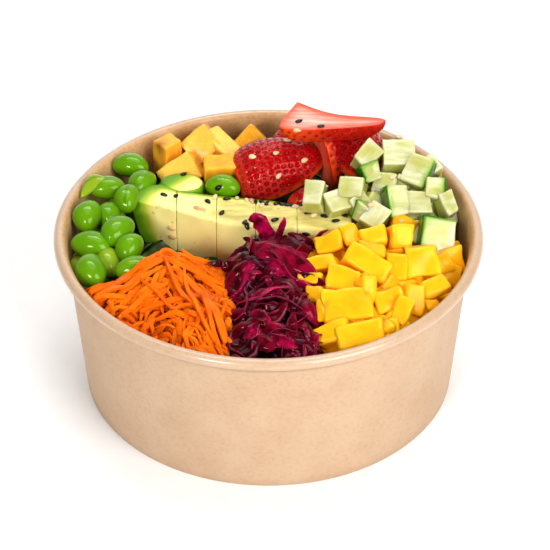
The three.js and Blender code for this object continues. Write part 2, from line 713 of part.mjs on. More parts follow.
// The seeds that lie on a solid: each is dropped from above and sunk a third into it.
function seedsOn(solid, others) {
  const mesh = new THREE.Mesh(geometryOf(solid), new THREE.MeshBasicMaterial());
  const caster = new THREE.Raycaster();
  const seeds = [];
  for (const [x, y, turn] of SEEDS) {
    caster.set(new THREE.Vector3(x, y, 200), new THREE.Vector3(0, 0, -1));
    const hit = caster.intersectObject(mesh)[0];
    if (hit === undefined) continue;
    const matrix = new THREE.Matrix4().makeRotationZ(turn * DEGREE);
    const tilt = new THREE.Quaternion().setFromUnitVectors(new THREE.Vector3(0, 0, 1), hit.face.normal);
    matrix.premultiply(new THREE.Matrix4().makeRotationFromQuaternion(tilt));
    matrix.setPosition(x, y, hit.point.z + SEED_HEIGHT / 6);
    const grain = solidOf(seed().applyMatrix4(matrix));
    const blocked = others.some((other) => boxesMeet(grain, other) && grain.intersect(other).volume() > 0);
    if (!blocked) seeds.push(grain);
  }
  return seeds;
}

// ---------------------------------------------------------------- fitting together

const SMALLEST_LEFT = 0.45; // a piece that keeps less than this share of itself is left out
const fitted = []; // every piece placed so far, as { owner, keepOut }

// Cuts a piece back to the clearance of the pieces of other nodes, or leaves it out.
function fit(owner, { solid, keepOut }) {
  let rest = solid.intersect(inside);
  for (const other of fitted) {
    if (other.owner !== owner && boxesMeet(rest, other.keepOut)) {
      rest = rest.subtract(other.keepOut);
    }
  }
  if (rest.isEmpty()) return null;
  rest = biggest(rest);
  if (rest.volume() < SMALLEST_LEFT * solid.volume()) return null;
  fitted.push({ owner, keepOut });
  return rest;
}

// One node of fused pieces, without the scraps that don't reach its core.
function fuse(owner, pieces, base = []) {
  const solids = pieces.map((entry) => fit(owner, entry)).filter((entry) => entry !== null);
  const whole = [...base, ...solids].reduce((sum, entry) => sum.add(entry));
  return biggest(whole);
}

// ---------------------------------------------------------------- nodes

const COLOURS = {
  kraft: 0xdeba98, leaf: 0x2c3a1c, edamame: 0x6aa51e, pineapple: 0xf2b83a, strawberry: 0xb81420,
  avocado: 0xe9df94, cucumber: 0xd5dc9c, mango: 0xf9bb12, cabbage: 0x6c1038, carrot: 0xee6a16,
};

function mesh(name, solid, colour, roughness) {
  const material = new THREE.MeshStandardMaterial({ color: colour, roughness, metalness: 0 });
  const node = new THREE.Mesh(geometryOf(solid), material);
  node.name = name;
  return node;
}

const pieces = new Map(); // node name -> { solid, colour, roughness, seeded }

function keep(name, solid, colour, roughness, seeded = false) {
  pieces.set(name, { solid, colour, roughness, seeded });
}

const slice = piece(strawberrySlice, new THREE.Matrix4());
keep('strawberry_slice', fit('strawberry_slice', slice), COLOURS.strawberry, 0.35, true);
STRAWBERRIES.forEach(([x, y, z, length, width, thickness, turn, tip, roll], i) => {
  const cut = halfBerry(length, width, thickness, lying(x, y, z, turn, tip, roll));
  keep(`strawberry_${i + 1}`, fit(`strawberry_${i + 1}`, cut), COLOURS.strawberry, 0.35, true);
});

for (let i = 0; i <= AVOCADO_CUTS.length; i += 1) {
  keep(`avocado_${i + 1}`, fit('avocado', avocadoPiece(i)), COLOURS.avocado, 0.5, true);
}
keep('avocado_end', fit('avocado_end', avocadoEnd(AVOCADO_END)), COLOURS.avocado, 0.5, true);

PINEAPPLE.forEach(([x, y, z, width, depth, height, turn, tip, roll, taper, shift], i) => {
  const shape = (grow) => block(width + grow, depth + grow, height + grow, taper, shift);
  const cut = piece(shape, lying(x, y, z, turn, tip, roll));
  keep(`pineapple_${i + 1}`, fit(`pineapple_${i + 1}`, cut), COLOURS.pineapple, 0.4);
});

keep('edamame_bean', fit('edamame_bean', beanPiece(LONE_BEAN)), COLOURS.edamame, 0.3);

const heapPieces = {
  edamame: [...EDAMAME, HUSK].map(beanPiece),
  cucumber: CUCUMBER.map(dicePiece),
  mango: MANGO.map(dicePiece),
  cabbage: cabbagePieces(),
  carrot: carrotPieces(),
};
const cores = {};
const coreKeepOuts = {};
for (const name of Object.keys(heapPieces)) {
  const others = fitted.filter(({ owner }) => !(owner in heapPieces));
  const bare = others.reduce((rest, other) => rest.subtract(other.keepOut), heapCore(HEAPS[name]));
  cores[name] = biggest(bare);
  coreKeepOuts[name] = heapCore(HEAPS[name], GAP);
}
for (const name of Object.keys(heapPieces)) {
  const others = Object.keys(cores).filter((other) => other !== name);
  const trimmed = heapPieces[name].map(({ solid, keepOut }) => {
    const rest = others.reduce((left, other) => left.subtract(coreKeepOuts[other]), solid);
    return { solid: rest, keepOut };
  });
  keep(`${name}_heap`, fuse(name, trimmed, [cores[name]]), COLOURS[name], 0.4);
}

const bed = fitted.reduce((rest, other) => rest.subtract(other.keepOut), bedSolid());
keep('leaf_bed', biggest(bed), COLOURS.leaf, 0.6);

const pokeBowl = new THREE.Group();
const bowlMaterial = new THREE.MeshStandardMaterial({ color: COLOURS.kraft, roughness: 0.8 });
const bowl = new THREE.Mesh(bowlGeometry(), bowlMaterial);
bowl.name = 'bowl';
pokeBowl.add(bowl);
for (const [name, { solid, colour, roughness, seeded }] of pieces) {
  const others = [...pieces].filter(([other]) => other !== name).map(([, entry]) => entry.solid);
  const seeds = seeded ? seedsOn(solid, others) : [];
  const whole = seeds.reduce((sum, grain) => sum.add(grain), solid);
  pokeBowl.add(mesh(name, whole, colour, roughness));
}

export default pokeBowl;
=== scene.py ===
"""Poke bowl: a Blender add-on that lays the food and the kraft paper bowl over their CAD frame.

Every shape is worked out in millimetres with numpy, in the frame of the CAD model: the origin on
the bowl's axis at its foot, +Z up and the front towards -Y.
"""

import json
import math

import bpy
import numpy as np
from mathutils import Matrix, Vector
from mathutils.bvhtree import BVHTree

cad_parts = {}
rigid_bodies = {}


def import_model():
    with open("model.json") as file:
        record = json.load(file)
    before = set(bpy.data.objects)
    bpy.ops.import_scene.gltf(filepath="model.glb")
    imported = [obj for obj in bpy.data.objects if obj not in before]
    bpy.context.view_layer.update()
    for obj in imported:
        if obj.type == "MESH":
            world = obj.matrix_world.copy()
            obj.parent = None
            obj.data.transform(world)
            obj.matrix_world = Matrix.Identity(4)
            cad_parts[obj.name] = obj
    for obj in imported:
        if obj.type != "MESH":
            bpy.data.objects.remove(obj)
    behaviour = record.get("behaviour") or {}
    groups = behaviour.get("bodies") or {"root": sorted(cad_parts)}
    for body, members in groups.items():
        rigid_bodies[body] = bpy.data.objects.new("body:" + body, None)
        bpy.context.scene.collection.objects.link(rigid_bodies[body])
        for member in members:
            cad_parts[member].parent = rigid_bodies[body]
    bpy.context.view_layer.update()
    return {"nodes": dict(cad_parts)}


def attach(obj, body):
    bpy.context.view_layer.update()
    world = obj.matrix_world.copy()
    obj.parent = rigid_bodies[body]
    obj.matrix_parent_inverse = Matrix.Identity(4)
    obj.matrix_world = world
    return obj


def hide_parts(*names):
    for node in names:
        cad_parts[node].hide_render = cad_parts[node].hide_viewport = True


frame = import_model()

bl_info = {
    "name": "Poke Bowl",
    "version": (1, 0, 0),
    "blender": (4, 5, 0),
    "location": "View3D > Sidebar > Poke Bowl",
    "description": "A kraft paper bowl filled with fruit and vegetables",
    "category": "Add Mesh",
}

MM = 0.001  # millimetres to metres


def linear(colour):
    """sRGB hex to linear RGBA: a straight line near black, above it a power of 2.4."""
    channels = [int(colour[i : i + 2], 16) / 255 for i in (1, 3, 5)]
    low, high = 12.92, 1.055
    return (*(c / low if c <= 0.04045 else ((c + 0.055) / high) ** 2.4 for c in channels), 1.0)


# ---- sizes shared with the frame

RIM_RADIUS = 82.5
FOOT_RADIUS = 72.5
BOWL_HEIGHT = 68.0
BEAD_RADIUS = 2.3
PAPER = 0.6
BASE_RECESS = 5.0
BASE_THICKNESS = 0.8
FOOT_WIDTH = 1.6
WALL_SLOPE = (RIM_RADIUS - 2 * BEAD_RADIUS + 0.2 - FOOT_RADIUS) / (BOWL_HEIGHT - BEAD_RADIUS)
BED_LEVEL = 45.0
CORE_BOTTOM = 49.0
PEAK_FALL = 10.0
BACK_SLOPE = 0.8
FIELD = 84.0  # half width of the square over which pieces are laid out
HEAP_REACH = 75.0  # furthest from the axis that a heap's core comes
SHRED_REACH = 73.5  # furthest from the axis that a loose shred lies


def millimetres(length):
    """A length setting in millimetres, free of the rounding of its storage."""
    return round(length / MM, 4)


def inner_radius(z):
    """Radius of the wall's inside: a straight slant from the foot to the rim."""
    return FOOT_RADIUS - PAPER + WALL_SLOPE * z


def inside_bowl(points, gap=0.4):
    """Points kept inside the wall: each that lies further out than the wall less the gap is
    pulled straight in towards the axis."""
    away = np.hypot(points[..., 0], points[..., 1])
    most = inner_radius(np.minimum(points[..., 2], BOWL_HEIGHT - 2 * BEAD_RADIUS)) - gap
    pull = np.minimum(1, most / np.maximum(away, 1e-6))
    return points * np.stack([pull, pull, np.ones_like(pull)], axis=-1)


# ---- meshes from arrays


def shape(points, *faces, paint=0, **fields):
    """A shape under work: its points, its arrays of faces, one paint number and its fields."""
    count = sum(len(part) for part in faces)
    return {
        "points": np.asarray(points, float),
        "faces": list(faces),
        "paint": np.full(count, paint) if np.isscalar(paint) else paint,
        "fields": {key: np.asarray(value, float) for key, value in fields.items()},
    }


def joined(shapes):
    """One shape from many: points stacked, faces shifted by the points that come before them."""
    starts = np.cumsum([0] + [len(part["points"]) for part in shapes])
    faces, paint = [], []
    for start, part in zip(starts, shapes):
        faces += [face + start for face in part["faces"]]
        paint.append(part["paint"])
    names = {name: field for part in shapes for name, field in part["fields"].items()}
    fields = {}
    for name, sample in names.items():
        fields[name] = np.concatenate(
            [
                part["fields"].get(name, np.zeros((len(part["points"]), *sample.shape[1:])))
                for part in shapes
            ]
        )
    points = np.concatenate([part["points"] for part in shapes])
    return {"points": points, "faces": faces, "paint": np.concatenate(paint), "fields": fields}


def moved(part, rotation, place):
    """The shape turned by the rotation, then shifted to its place."""
    return {**part, "points": part["points"] @ rotation.T + np.asarray(place, float)}


def with_fields(part, **levels):
    """The shape with more fields, each with one value all over it."""
    fields = {key: np.full(len(part["points"]), level) for key, level in levels.items()}
    return {**part, "fields": {**part["fields"], **fields}}


def unit_vectors(vectors):
    """Vectors over their lengths; one of no length stays as it is."""
    return vectors / np.maximum(np.linalg.norm(vectors, axis=-1, keepdims=True), 1e-9)


def distance_to(points, cloud):
    """Distance from each point to the nearest of a cloud, a part of the cloud at a time."""
    near = np.full(len(points), np.inf)
    for chunk in np.array_split(cloud, max(1, len(cloud) // 40)):
        away = np.linalg.norm(points[:, None] - chunk[None], axis=2)
        near = np.minimum(near, away.min(axis=1))
    return near


def make_piece(name, part, materials, nodes=(), flat=False):
    """A Blender object at the origin with the shape in its mesh, riding on the bowl."""
    mesh = bpy.data.meshes.new(name)
    mesh.vertices.add(len(part["points"]))
    mesh.vertices.foreach_set("co", (part["points"] * MM).ravel())
    loops = np.concatenate([face.ravel() for face in part["faces"]])
    sides = np.concatenate([np.full(len(face), face.shape[1]) for face in part["faces"]])
    mesh.loops.add(len(loops))
    mesh.loops.foreach_set("vertex_index", loops.astype(np.int32))
    mesh.polygons.add(len(sides))
    starts = np.concatenate([[0], np.cumsum(sides)[:-1]])
    mesh.polygons.foreach_set("loop_start", starts.astype(np.int32))
    mesh.polygons.foreach_set("material_index", part["paint"].astype(np.int32))
    mesh.polygons.foreach_set("use_smooth", np.full(len(sides), not flat))
    for key, values in part["fields"].items():
        vector = values.ndim == 2
        kind = "FLOAT_VECTOR" if vector else "FLOAT"
        field = mesh.attributes.new(key, kind, "POINT")
        field.data.foreach_set("vector" if vector else "value", values.ravel())
    mesh.update()
    mesh.validate()
    for material in materials:
        mesh.materials.append(material)
    piece = bpy.data.objects.new(name, mesh)
    bpy.context.scene.collection.objects.link(piece)
    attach(piece, "root")
    if nodes:
        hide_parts(*nodes)
    return piece


def cube_grid(ticks):
    """The surface of the cube from -1 to 1: on each side a grid over the ticks, shared corners."""
    ticks = np.asarray(ticks, float)
    u, v = np.meshgrid(ticks, ticks, indexing="ij")
    one = np.ones_like(u)
    sides = [(one, u, v), (-one, v, u), (v, one, u), (u, -one, v), (u, v, one), (v, u, -one)]
    points = np.concatenate([np.stack(side, -1).reshape(-1, 3) for side in sides])
    count = len(ticks)
    index = np.arange(count * count).reshape(count, count)
    quad = np.stack([index[:-1, :-1], index[1:, :-1], index[1:, 1:], index[:-1, 1:]], -1)
    quads = (quad.reshape(-1, 1, 4) + count * count * np.arange(6)[None, :, None]).reshape(-1, 4)
    _, first, back = np.unique(
        np.round(points * 1e5).astype(int), axis=0, return_index=True, return_inverse=True
    )
    return points[first], back.ravel()[quads]


def even_ticks(count):
    """Ticks whose rays from the cube's middle stand at even angles: tangents of even steps."""
    return np.tan(np.radians(np.linspace(-45, 45, count + 1)))


def ball(count):
    """The unit ball: the cube's surface blown up so that each point is one away."""
    points, quads = cube_grid(even_ticks(count))
    return unit_vectors(points), quads


def closed_rows(rows):
    """A closed skin over rows of points round an axis: a point at each end, and between them
    quads from row to row and round each row."""
    first, last = rows[0].mean(0), rows[-1].mean(0)
    body = np.stack(rows[1:-1])
    count, around = body.shape[:2]
    points = np.concatenate([[first], body.reshape(-1, 3), [last]])
    index = 1 + np.arange(count * around).reshape(count, around)
    after = np.roll(index, -1, axis=1)
    quads = np.stack([index[:-1], after[:-1], after[1:], index[1:]], -1).reshape(-1, 4)
    end = len(points) - 1
    fan = np.stack([np.zeros(around, int), after[0], index[0]], -1)
    cap = np.stack([np.full(around, end), index[-1], after[-1]], -1)
    return points, quads, np.concatenate([fan, cap])


def ribbons(lines, width, thickness, twist, bow, ticks=(-1, 0, 1), facing=(0.0, 0.0, 1.0)):
    """Ribbons along many lines at once, lines as ribbon x step x 3. A section is a bar `width`
    across, its middle `bow` above its ends by the square of the way out, and as thick as said.
    Its broad side faces the way given, then it is turned about its line by the twist."""
    along = unit_vectors(np.gradient(lines, axis=1))
    facing = np.broadcast_to(np.asarray(facing, float).reshape(-1, 1, 3), along.shape)
    out = unit_vectors(facing - (facing * along).sum(2, keepdims=True) * along)
    side = np.cross(out, along)
    c, s = np.cos(twist)[..., None], np.sin(twist)[..., None]
    side, out = side * c + out * s, out * c - side * s
    ticks = np.asarray(ticks, float)
    across = np.concatenate([ticks, ticks[::-1]])
    layer = np.repeat([-0.5, 0.5], len(ticks))
    lift = layer * thickness[..., None] + (1 - across**2) * bow[..., None]
    spread_out = across / 2 * width[..., None]
    points = lines[:, :, None] + side[:, :, None] * spread_out[..., None]
    points = points + out[:, :, None] * lift[..., None]
    count, steps, around = points.shape[:3]
    index = np.arange(count * steps * around).reshape(count, steps, around)
    after = np.roll(index, -1, axis=2)
    quads = np.stack([index[:, :-1], after[:, :-1], after[:, 1:], index[:, 1:]], -1).reshape(-1, 4)
    caps = []
    for k in range(len(ticks) - 1):
        far = around - 1 - k
        caps.append(index[:, 0][:, [k, far, far - 1, k + 1]])
        caps.append(index[:, -1][:, [k, k + 1, far - 1, far]])
    edge = np.tile(np.abs(across), (count, steps, 1))
    return points.reshape(-1, 3), np.concatenate([quads, *caps]), edge.ravel()


def turned(turn, tip=0.0, roll=0.0):
    """Rotation in degrees: roll about x, then tip the far end up, then turn about z."""
    a, b, c = np.radians([turn, -tip, roll])
    about_z = [[math.cos(a), -math.sin(a), 0], [math.sin(a), math.cos(a), 0], [0, 0, 1]]
    about_y = [[math.cos(b), 0, math.sin(b)], [0, 1, 0], [-math.sin(b), 0, math.cos(b)]]
    about_x = [[1, 0, 0], [0, math.cos(c), -math.sin(c)], [0, math.sin(c), math.cos(c)]]
    return np.array(about_z) @ np.array(about_y) @ np.array(about_x)


def ripple(points, wavelength, seed):
    """A smooth uneven height between about -1 and 1: the mean of six waves of that length, each
    in a drawn direction with a drawn phase."""
    random = np.random.default_rng(seed)
    ways = unit_vectors(random.normal(size=(6, points.shape[-1])))
    phase = random.uniform(0, 2 * math.pi, 6)
    waves = np.sin(points @ ways.T * (2 * math.pi / wavelength) + phase)
    return waves.mean(axis=-1) * 1.8


def hermite(values, steps):
    """A smooth line through rows of values, by Catmull-Rom: each span a cubic whose slopes are
    half the difference of the rows on both sides."""
    values = np.asarray(values, float)
    padded = np.concatenate([2 * values[:1] - values[1:2], values, 2 * values[-1:] - values[-2:-1]])
    at = np.linspace(0, len(values) - 1, steps)
    i = np.minimum(at.astype(int), len(values) - 2)
    t = (at - i)[:, None]
    a, b, c, d = padded[i], padded[i + 1], padded[i + 2], padded[i + 3]
    return b + 0.5 * t * (c - a + t * (2 * a - 5 * b + 4 * c - d + t * (3 * (b - c) + d - a)))


def smoothstep(low, high, value):
    """0 below low, 1 above high, between them the cubic 3t^2 - 2t^3."""
    t = np.clip((value - low) / (high - low), 0, 1)
    return t * t * (3 - 2 * t)


# ---- materials

# painted shade: the band in which the board is darkened under its rolled rim
RIM_SHADE_BAND = (59.4 * MM, 61.2 * MM)  # heights between which the board darkens under its rolled rim


def add(tree, kind, links=None, stops=None, **settings):
    """Adds a node with its settings, its inputs' values or links, and a ramp's stops."""
    node = tree.nodes.new(kind)
    for key, value in settings.items():
        setattr(node, key, value)
    for key, value in (links or {}).items():
        if isinstance(value, bpy.types.NodeSocket):
            tree.links.new(value, node.inputs[key])
        else:
            node.inputs[key].default_value = value
    if stops:
        elements = node.color_ramp.elements
        while len(elements) < len(stops):
            elements.new(0.5)
        for element, (position, colour) in zip(elements, stops):
            element.position = position
            element.color = linear(colour)
    return node


def new_material(name, *fields):
    """A material with a Principled shader, its output and what it reads of the mesh's fields;
    the field `own` is a vector, the place in the piece before it was turned."""
    material = bpy.data.materials.new(name)
    material.use_nodes = True
    tree = material.node_tree
    tree.nodes.clear()
    shader = add(tree, "ShaderNodeBsdfPrincipled")
    add(tree, "ShaderNodeOutputMaterial", {"Surface": shader.outputs["BSDF"]})
    read = []
    for field in fields:
        node = add(tree, "ShaderNodeAttribute", attribute_name=field)
        read.append(node.outputs["Vector" if field == "own" else "Fac"])
    return material, tree, shader, *read


def settle(tree, shader, body, layers, values, height=None, strength=0.3, distance=0.0003):
    """Lays colours over the body colour, each by its share or by the product of its shares and
    with its blend, links the result and the bump to the shader, and sets what is constant."""
    for shares, over, *blend in layers:
        share, *others = shares if isinstance(shares, tuple) else (shares,)
        for other in others:
            links = {0: share, 1: other}
            share = add(tree, "ShaderNodeMath", links, operation="MULTIPLY").outputs["Value"]
        links = {0: share, 6: body, 7: linear(over) if isinstance(over, str) else over}
        node = add(tree, "ShaderNodeMix", links, data_type="RGBA", blend_type=(*blend, "MIX")[0])
        body = node.outputs[2]
    tree.links.new(body, shader.inputs["Base Color"])
    for key, value in values.items():
        shader.inputs[key].default_value = value
    if height is not None:
        links = {"Strength": strength, "Distance": distance, "Height": height}
        bump = add(tree, "ShaderNodeBump", links)
        tree.links.new(bump.outputs["Normal"], shader.inputs["Normal"])


def grain(tree, size, detail, coords=None, stretch=(1, 1, 1), roughness=0.5):
    """An uneven pattern with spots of about that size in metres: Object coordinates, or the
    given, scaled and fed to noise."""
    if coords is None:
        coords = add(tree, "ShaderNodeTexCoord").outputs["Object"]
    scaled = add(tree, "ShaderNodeMapping", {"Vector": coords, "Scale": stretch})
    links = {
        "Vector": scaled.outputs["Vector"],
        "Scale": 1 / size,
        "Detail": detail,
        "Roughness": roughness,
    }
    return add(tree, "ShaderNodeTexNoise", links).outputs["Fac"]


def pulp_layers(tree, settings):
    """The layers of colour over bare kraft pulp, and its fibres: clouds of paler pulp, and short
    darker fibres, finer than this in life and drawn 1 to 2 mm long so that they show."""
    clouds = grain(tree, 0.018, 3.0)
    fibres = grain(tree, 0.0017, 3.0, stretch=(1, 1, 1.3), roughness=0.6)
    stops = [(0.3, "#d4c6b4"), (0.45, "#f2eae0"), (0.58, "#ffffff"), (0.74, "#ebe2d6")]
    spots = add(tree, "ShaderNodeValToRGB", {"Fac": fibres}, stops).outputs["Color"]
    return [(clouds, tuple(settings.board_pale)), (0.3, spots, "MULTIPLY")], fibres


def kraft_board(settings):
    """Kraft board, calendered: matte pale brown and finely mottled, with a painted shade, a little
    darker, in the crease where it goes under the rolled rim."""
    material, tree, shader = new_material("kraft_board")
    layers, fibres = pulp_layers(tree, settings)
    # painted shade: a darker brown over the band under the rolled rim, standing in for its shadow
    place = add(tree, "ShaderNodeTexCoord").outputs["Object"]
    height = add(tree, "ShaderNodeSeparateXYZ", {"Vector": place}).outputs["Z"]
    links = {"Value": height, "From Min": RIM_SHADE_BAND[0], "From Max": RIM_SHADE_BAND[1], "To Max": 0.55}
    crease = add(tree, "ShaderNodeMapRange", links).outputs["Result"]
    layers.append((crease, "#7c5c3e"))
    values = {"Roughness": 0.6, "Specular IOR Level": 0.35, "IOR": 1.5}
    settle(tree, shader, tuple(settings.board), layers, values, fibres, 0.12, 0.0002)
    return material


def rolled_rim(settings):
    """Kraft board rolled outwards at the rim, so that its film is on the outside: the same pulp
    with a gloss that catches the light along the roll."""
    material, tree, shader = new_material("rolled_film_rim")
    layers, fibres = pulp_layers(tree, settings)
    values = {"Roughness": 0.34, "Coat Weight": 0.5, "Coat Roughness": 0.12, "IOR": 1.5}
    settle(tree, shader, tuple(settings.board), layers, values, fibres, 0.08, 0.0002)
    return material


def lined_board(settings):
    """Kraft board under a clear film: a warmer brown with a soft wet-looking sheen, its fibres
    drawn nearly 2 mm long so that they show."""
    material, tree, shader = new_material("film_lined_kraft_board")
    clouds = grain(tree, 0.02, 2.0)
    fibres = grain(tree, 0.0018, 3.0, stretch=(1, 1, 2.0))
    stops = [(0.35, "#e4d6c4"), (0.6, "#ffffff")]
    pulp = add(tree, "ShaderNodeValToRGB", {"Fac": fibres}, stops).outputs["Color"]
    layers = [(clouds, tuple(settings.lining_pale)), (0.6, pulp, "MULTIPLY")]
    values = {"Roughness": 0.4, "Specular IOR Level": 0.4, "Coat Weight": 0.1}
    settle(tree, shader, tuple(settings.lining), layers, values, fibres, 0.06, 0.0002)
    return material


def leaf_blade(settings):
    """Baby leaf, washed: dark green and waxy, with paler veins and a soft blister relief."""
    material, tree, shader, tone, vein = new_material("washed_leaf_blade", "tone", "vein")
    blister = grain(tree, 0.004, 3.0)
    layers = [(tone, "#47641f"), (blister, "#1a2410"), (vein, "#6f8c44")]
    values = {
        "Specular Tint": linear("#b8c890"),
        "Roughness": 0.4,
        "Subsurface Weight": 0.1,
        "Subsurface Scale": 0.001,
        "Coat Weight": 0.1,
    }
    settle(tree, shader, tuple(settings.leaf), layers, values, blister, 0.4, 0.0006)
    return material


def bean_skin(settings):
    """Soya bean, blanched: a tight wet skin, bright green with a yellower side and a sharp
    highlight."""
    material, tree, shader, tone, crease = new_material("blanched_bean_skin", "tone", "crease")
    cloud = grain(tree, 0.007, 3.0)
    layers = [(cloud, "#6ea408"), (tone, "#a8b42c"), (crease, "#2c5c06")]
    values = {
        "Specular Tint": linear("#a8d834"),
        "Specular IOR Level": 0.4,
        "Roughness": 0.24,
        "Subsurface Weight": 0.2,
        "Subsurface Scale": 0.003,
        "Subsurface Radius": (0.5, 1.0, 0.1),
        "Coat Weight": 0.4,
        "Coat Roughness": 0.08,
        "IOR": 1.42,
    }
    pores = grain(tree, 0.0012, 2.0)
    settle(tree, shader, tuple(settings.bean), layers, values, pores, 0.06, 0.0001)
    return material


def grated_root(settings):
    """Carrot, grated: moist torn shreds, an even bright orange, dark red where light can't
    reach between them."""
    material, tree, shader, tone, deep = new_material("grated_carrot", "tone", "deep")
    fibre = grain(tree, 0.0012, 3.0)
    patch = grain(tree, 0.006, 2.0)
    links = {0: tone, 6: tuple(settings.carrot), 7: linear("#fc8812")}
    body = add(tree, "ShaderNodeMix", links, data_type="RGBA").outputs[2]
    links = {0: patch, 6: linear("#e24e04"), 7: body}
    body = add(tree, "ShaderNodeMix", links, data_type="RGBA").outputs[2]
    values = {
        "Specular Tint": linear("#ff9030"),
        "Roughness": 0.5,
        "Subsurface Weight": 0.3,
        "Subsurface Scale": 0.002,
        "Subsurface Radius": (1.0, 0.35, 0.05),
    }
    # painted shade: the deep field turns low shreds and the core dark red
    settle(tree, shader, body, [(deep, "#780c02")], values, fibre, 0.5, 0.0004)
    return material


def cabbage_shred(settings):
    """Red cabbage, shredded and dressed: glassy crimson leaf, magenta where it is thin, with
    paler cut edges, almost black where light can't reach."""
    material, tree, shader, tone, edge, deep = new_material(
        "dressed_red_cabbage", "tone", "edge", "deep"
    )
    cloud = grain(tree, 0.004, 3.0)
    stops = [(0.0, "#260006"), (0.4, "#5c0212"), (0.75, "#88042a"), (1.0, "#ae0646")]
    body = add(tree, "ShaderNodeValToRGB", {"Fac": tone}, stops).outputs["Color"]
    stops = [(0.38, "#7c5058"), (0.6, "#ffffff")]
    shade = add(tree, "ShaderNodeValToRGB", {"Fac": cloud}, stops).outputs["Color"]
    thin = add(tree, "ShaderNodeMath", {0: edge, 1: 6.0}, operation="POWER").outputs["Value"]
    # painted shade: the deep field turns low scraps and the core almost black
    layers = [(1.0, shade, "MULTIPLY"), ((thin, 0.22), tuple(settings.cabbage)), (deep, "#100104")]
    values = {
        "Specular Tint": linear("#d82048"),
        "Specular IOR Level": 0.25,
        "Roughness": 0.28,
        "Coat Weight": 0.2,
        "Coat Roughness": 0.05,
        "Subsurface Weight": 0.08,
        "Subsurface Scale": 0.001,
        "Subsurface Radius": (1.0, 0.1, 0.2),
    }
    settle(tree, shader, body, layers, values, cloud, 0.5, 0.0006)
    return material


def mango_flesh(settings):
    """Mango, diced: wet and soft, deep yellow, the riper dice more orange, the orange of the
    core between them a painted shade, paler along the faint fibres, and paler along the cut
    edges as a painted highlight."""
    material, tree, shader, tone, edge, own = new_material(
        "diced_mango_flesh", "tone", "edge", "own"
    )
    fibre = grain(tree, 0.0018, 3.0, own, (1, 1, 0.25))
    cloud = grain(tree, 0.006, 3.0)
    stops = [(0.36, "#f4c890"), (0.6, "#ffffff")]
    shade = add(tree, "ShaderNodeValToRGB", {"Fac": cloud}, stops).outputs["Color"]
    # painted highlight: paler yellow along the rounded edges, added to the paler fibres
    soft = add(tree, "ShaderNodeMath", {0: edge, 1: fibre}, operation="ADD").outputs["Value"]
    layers = [(tone, tuple(settings.mango)), (0.5, shade, "MULTIPLY"), ((soft, 0.34), "#ffc424")]
    values = {
        "Specular Tint": linear("#ffb810"),
        "Roughness": 0.3,
        "Subsurface Weight": 0.45,
        "Subsurface Scale": 0.004,
        "Subsurface Radius": (1.0, 0.7, 0.1),
        "Coat Weight": 0.2,
        "Coat Roughness": 0.1,
    }
    settle(tree, shader, linear("#fcc61c"), layers, values, fibre, 0.3, 0.0004)
    return material


def cucumber_flesh(settings):
    """Cucumber, diced: glassy yellow-green flesh, the cut that looks up painted pale and
    streaked as lit, with a thin dark skin."""
    material, tree, shader, depth, edge, own, face = new_material(
        "diced_cucumber", "depth", "edge", "own", "face"
    )
    streak = grain(tree, 0.0016, 3.0, own, (0.3, 1, 0.3))
    cloud = grain(tree, 0.009, 1.0, own)
    stops = [(0.0, "#1c4a08"), (0.05, "#34700e"), (0.13, "#7ca428")]
    stops += [(0.28, "#94aa38"), (0.5, "#a2ac48"), (1.0, "#acb052")]
    rind = add(tree, "ShaderNodeValToRGB", {"Fac": depth}, stops).outputs["Color"]
    links = {"Value": depth, "From Min": 0.1, "From Max": 0.4}
    inner = add(tree, "ShaderNodeMapRange", links).outputs["Result"]
    links = {"Value": streak, "From Min": 0.36, "From Max": 0.6, "To Min": 0.35, "To Max": 0.8}
    pale = add(tree, "ShaderNodeMapRange", links).outputs["Result"]
    links = {"Value": cloud, "From Min": 0.4, "From Max": 0.62, "To Max": 0.75}
    green = add(tree, "ShaderNodeMapRange", links).outputs["Result"]
    # painted light: the face field lays the pale streaks only on the cut that looks up
    layers = [
        ((pale, inner, face), tuple(settings.cucumber)),
        ((green, inner), "#b0ae3e"),
        ((edge, inner, 0.35), "#dcdab8"),
    ]
    values = {
        "Specular Tint": linear("#e8e8b0"),
        "Roughness": 0.18,
        "Subsurface Weight": 0.5,
        "Subsurface Scale": 0.004,
        "Subsurface Radius": (0.9, 1.0, 0.4),
        "Coat Weight": 0.3,
        "Coat Roughness": 0.05,
    }
    settle(tree, shader, rind, layers, values, streak, 0.35, 0.0004)
    return material


